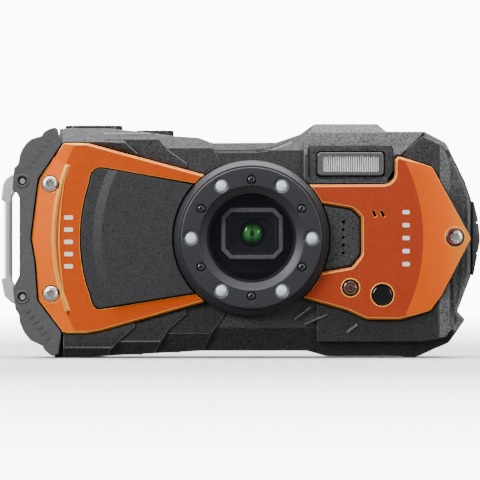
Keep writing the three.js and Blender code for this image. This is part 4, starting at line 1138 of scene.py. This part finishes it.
def make_guard():
    """Rubber guard: a lip that reaches in to the face plate and a wall that wraps the end of the case."""
    holes = [disc_cutter(x, z, 1.15, -14, 3.6, 48) for x, z in STRAP_PINS]
    plate_room = slab_cutter(inset(rounded(LEFT_PLATE), -0.4), -12, -6)
    lip = slab(GUARD_EDGE + [(-46.9, 6.4), (-46.6, 56.2), (-47.3, 57.7)], PLATE_FACE, -9.75)
    wall = slab(GUARD_EDGE + [(-48.0, 4.0), (-48.0, 58.0)], -10.2, 8.8)
    around_case = slab_cutter(inset(CASE_OUTLINE, -0.1), -10.5, 20)
    for name, bm, cutter in (("lip", lip, plate_room), ("wall", wall, around_case)):
        piece = carved("side_guard_" + name, bm, 0.28, 24, [cut() for cut in (cutter, *holes)])
        dress(piece, "guard_rubber", "root", ("side_guard",))
    lug = [(1.2, -2.6), (2.2, -2.6), (2.5, -2.3), (2.5, 2.3), (2.2, 2.6), (1.2, 2.6)]
    collar = [(1.15, -11.0), (1.2, -11.12), (1.75, -11.14), (1.95, -10.9)]
    for k, (x, z) in enumerate(STRAP_PINS, 1):
        for name, profile in (("lug", lug), ("collar", collar)):
            turned = lathe(profile, (x * MM, 0, z * MM), 48)
            fixed(f"side_guard_{name}_{k}", turned, "guard_rubber", smooth=True)
    for name, start, end in (("upper", (-55.6, 50.4), (-50.3, 57.4)), ("lower", (-55.6, 12.4), (-50.6, 5.2))):
        lean = math.degrees(math.atan2(end[1] - start[1], end[0] - start[0]))
        for k in range(6):
            x, z = Vector(start).lerp(Vector(end), k / 5)
            rib = slab(rounded_box(-0.3, 0.3, -0.75, 0.75, 0.25, 3), -11.16, -10.9)
            fixed(f"guard_rib_{name}_{k + 1}", moved(rib, (x, 0, z), -lean, "Y"), "guard_rubber")


def make_crescent():
    """The raised crescent on the left plate, its ridge lines in a painted highlight colour, and small black
    triangles beside its screws as painted shadows of notches.
    """
    def bow(depth, steps=24):
        return [(-45.2 - depth * math.sin(math.pi * i / steps), 51.4 - 40.2 * i / steps)
                for i in range(steps + 1)]

    def strip(name, outer, inner, front, material):
        outline = bow(outer) + bow(inner)[-2:0:-1]
        fixed("left_plate_" + name, slab(outline, front, -10.8), material)

    strip("crescent", 4.2, 2.3, -11.08, "orange_metal")
    strip("ridge_outer", 4.4, 4.05, -11.2, "orange_edge")
    strip("ridge_inner", 2.45, 2.1, -11.2, "orange_edge")
    for k, (x, z, lean) in enumerate(((-48.0, 45.2, 1), (-48.0, 17.4, -1)), 1):
        outline = [(x, z - 0.9 * lean), (x + 0.9, z + 0.1 * lean), (x + 0.3, z + 0.9 * lean)]
        fixed(f"left_plate_notch_shadow_{k}", slab(outline, -11.2, PLATE_FACE), "hole_black")


# Width of the rounding in mm, smallest angle that is rounded, segments.
ROUNDED_PIECES = dict(
    grip_panel=(0.25, 16, 2), speaker_panel=(0.1, 20, 2), terminal_cover=(0.3, 24, 3),
    battery_door=(0.12, 30, 2), door_lock=(0.15, 30, 2), strap_pin_1=(0.15, 30, 3),
    strap_pin_2=(0.15, 30, 3), timer_lamp=(0.1, 30, 2), remote_window=(0.1, 30, 2),
    tripod_socket=(0.15, 30, 2), flash_reflector=(0.1, 25, 2), monitor_window=(0.2, 28, 3),
    power_button=(0.25, 28, 4), playback_button=(0.25, 28, 4), movie_button=(0.25, 28, 4),
    menu_button=(0.25, 28, 4), function_button=(0.25, 28, 4), ok_button=(0.25, 28, 4),
    four_way_pad=(0.25, 28, 4), zoom_rocker=(0.25, 28, 4),
)


def make_body():
    make_front_shell()
    make_rear_shell()
    # The right plate's middle takes a painted shaded copy of the lacquer, each skirt a painted lit paint, and
    # the bevels (slot 2) the painted highlight colour.
    paints = (("left_face_plate", "orange_metal", "orange_light"),
              ("right_face_plate", "orange_deep", "orange_sweep"))
    for name, middle_paint, lit_skirt_paint in paints:
        plate = refined(name, 0.15, 20, 2, middle_paint, (lit_skirt_paint, "orange_edge"), plate_painted_light_slot)
        plate.modifiers["rounding"].material = 2
    make_plate_rims()
    make_marks()
    make_guard()
    make_crescent()
    refined("strap_bar", 0.45, 30, 4, "strap_steel")
    bar_front = extent_mm("strap_bar")[2]
    # Two thin black strips down the bar: painted dark reflections of a polished bar, not grooves.
    for k, x in enumerate((-62.25, -60.75), 1):
        groove = slab(rounded_box(x - 0.11, x + 0.11, 21.5, 41.0, 0.1, 2), bar_front - 0.02, bar_front + 0.3)
        fixed(f"strap_bar_dark_reflection_{k}", groove, "hole_black")
    for name, rounding in ROUNDED_PIECES.items():
        refined(name, *rounding)


def mark(name, button, outline, color="white_print"):
    """A flat print on a rear button; the outline is in millimetres from the button's centre."""
    centre_x, centre_z = spot(button)
    rear = extent_mm(button)[3]
    placed = slab([(centre_x + x, centre_z + z) for x, z in outline], rear - 0.15, rear + 0.03)
    dress(finish_mesh(name, placed, smooth=False), color, BODY_OF[button])


def square(x, half):
    """A small rounded square beside the centre of a button."""
    return rounded_box(x - half, x + half, -half, half, 0.1, 2)


def make_controls():
    refined("shutter_button", 0.3, 28, 4, "dark_steel")
    x0, x1, _, rear, z0, z1 = extent_mm("monitor_window")
    display = slab(rounded_box(x0 + 2.2, x1 - 2.2, z0 + 2.4, z1 - 2.4, 0.4), rear - 0.1, rear + 0.02)
    fixed("monitor_display", display, "display")

    mark("playback_mark", "playback_button", [(0.8, -0.95), (0.8, 0.95), (-0.95, 0)])
    dot = [(0.85 * math.cos(i * 0.26), 0.85 * math.sin(i * 0.26)) for i in range(24)]
    mark("movie_mark", "movie_button", dot, "red_print")
    for k in (-1, 0, 1):
        bar = rounded_box(-0.95, 0.95, 0.65 * k - 0.16, 0.65 * k + 0.16, 0.1, 2)
        mark(f"menu_mark_{k + 2}", "menu_button", bar)
    mark("function_mark", "function_button", [(-0.8, -0.8), (0.8, -0.8), (0.8, 0.8), (-0.8, 0.8)])
    mark("rocker_mark_wide", "zoom_rocker", square(5.8, 0.4))
    mark("rocker_mark_tele", "zoom_rocker", square(-6.0, 0.8))
    for k, (x, z) in enumerate(((0, 1), (1, 0), (0, -1), (-1, 0)), 1):
        tip = (7.84 * x, 7.84 * z)
        wings = [(7 * x + half * z, 7 * z + half * x) for half in (0.75, -0.75)]
        mark(f"pad_mark_{k}", "four_way_pad", [tip, *wings])


def restyle_hidden():
    """Pieces inside the case keep their CAD shape and take the finished materials."""
    for name, holder in NODES.items():
        if holder.hide_render:
            continue
        material = MATERIALS[SLOT_OF[name]]
        if holder.material_slots:
            holder.material_slots[0].material = material
        else:
            holder.data.materials.append(material)


make_camera()
make_materials()
make_studio()
make_body()
make_lens_ring()
make_leds()
make_screws()
make_optics()
make_flash()
make_controls()
restyle_hidden()
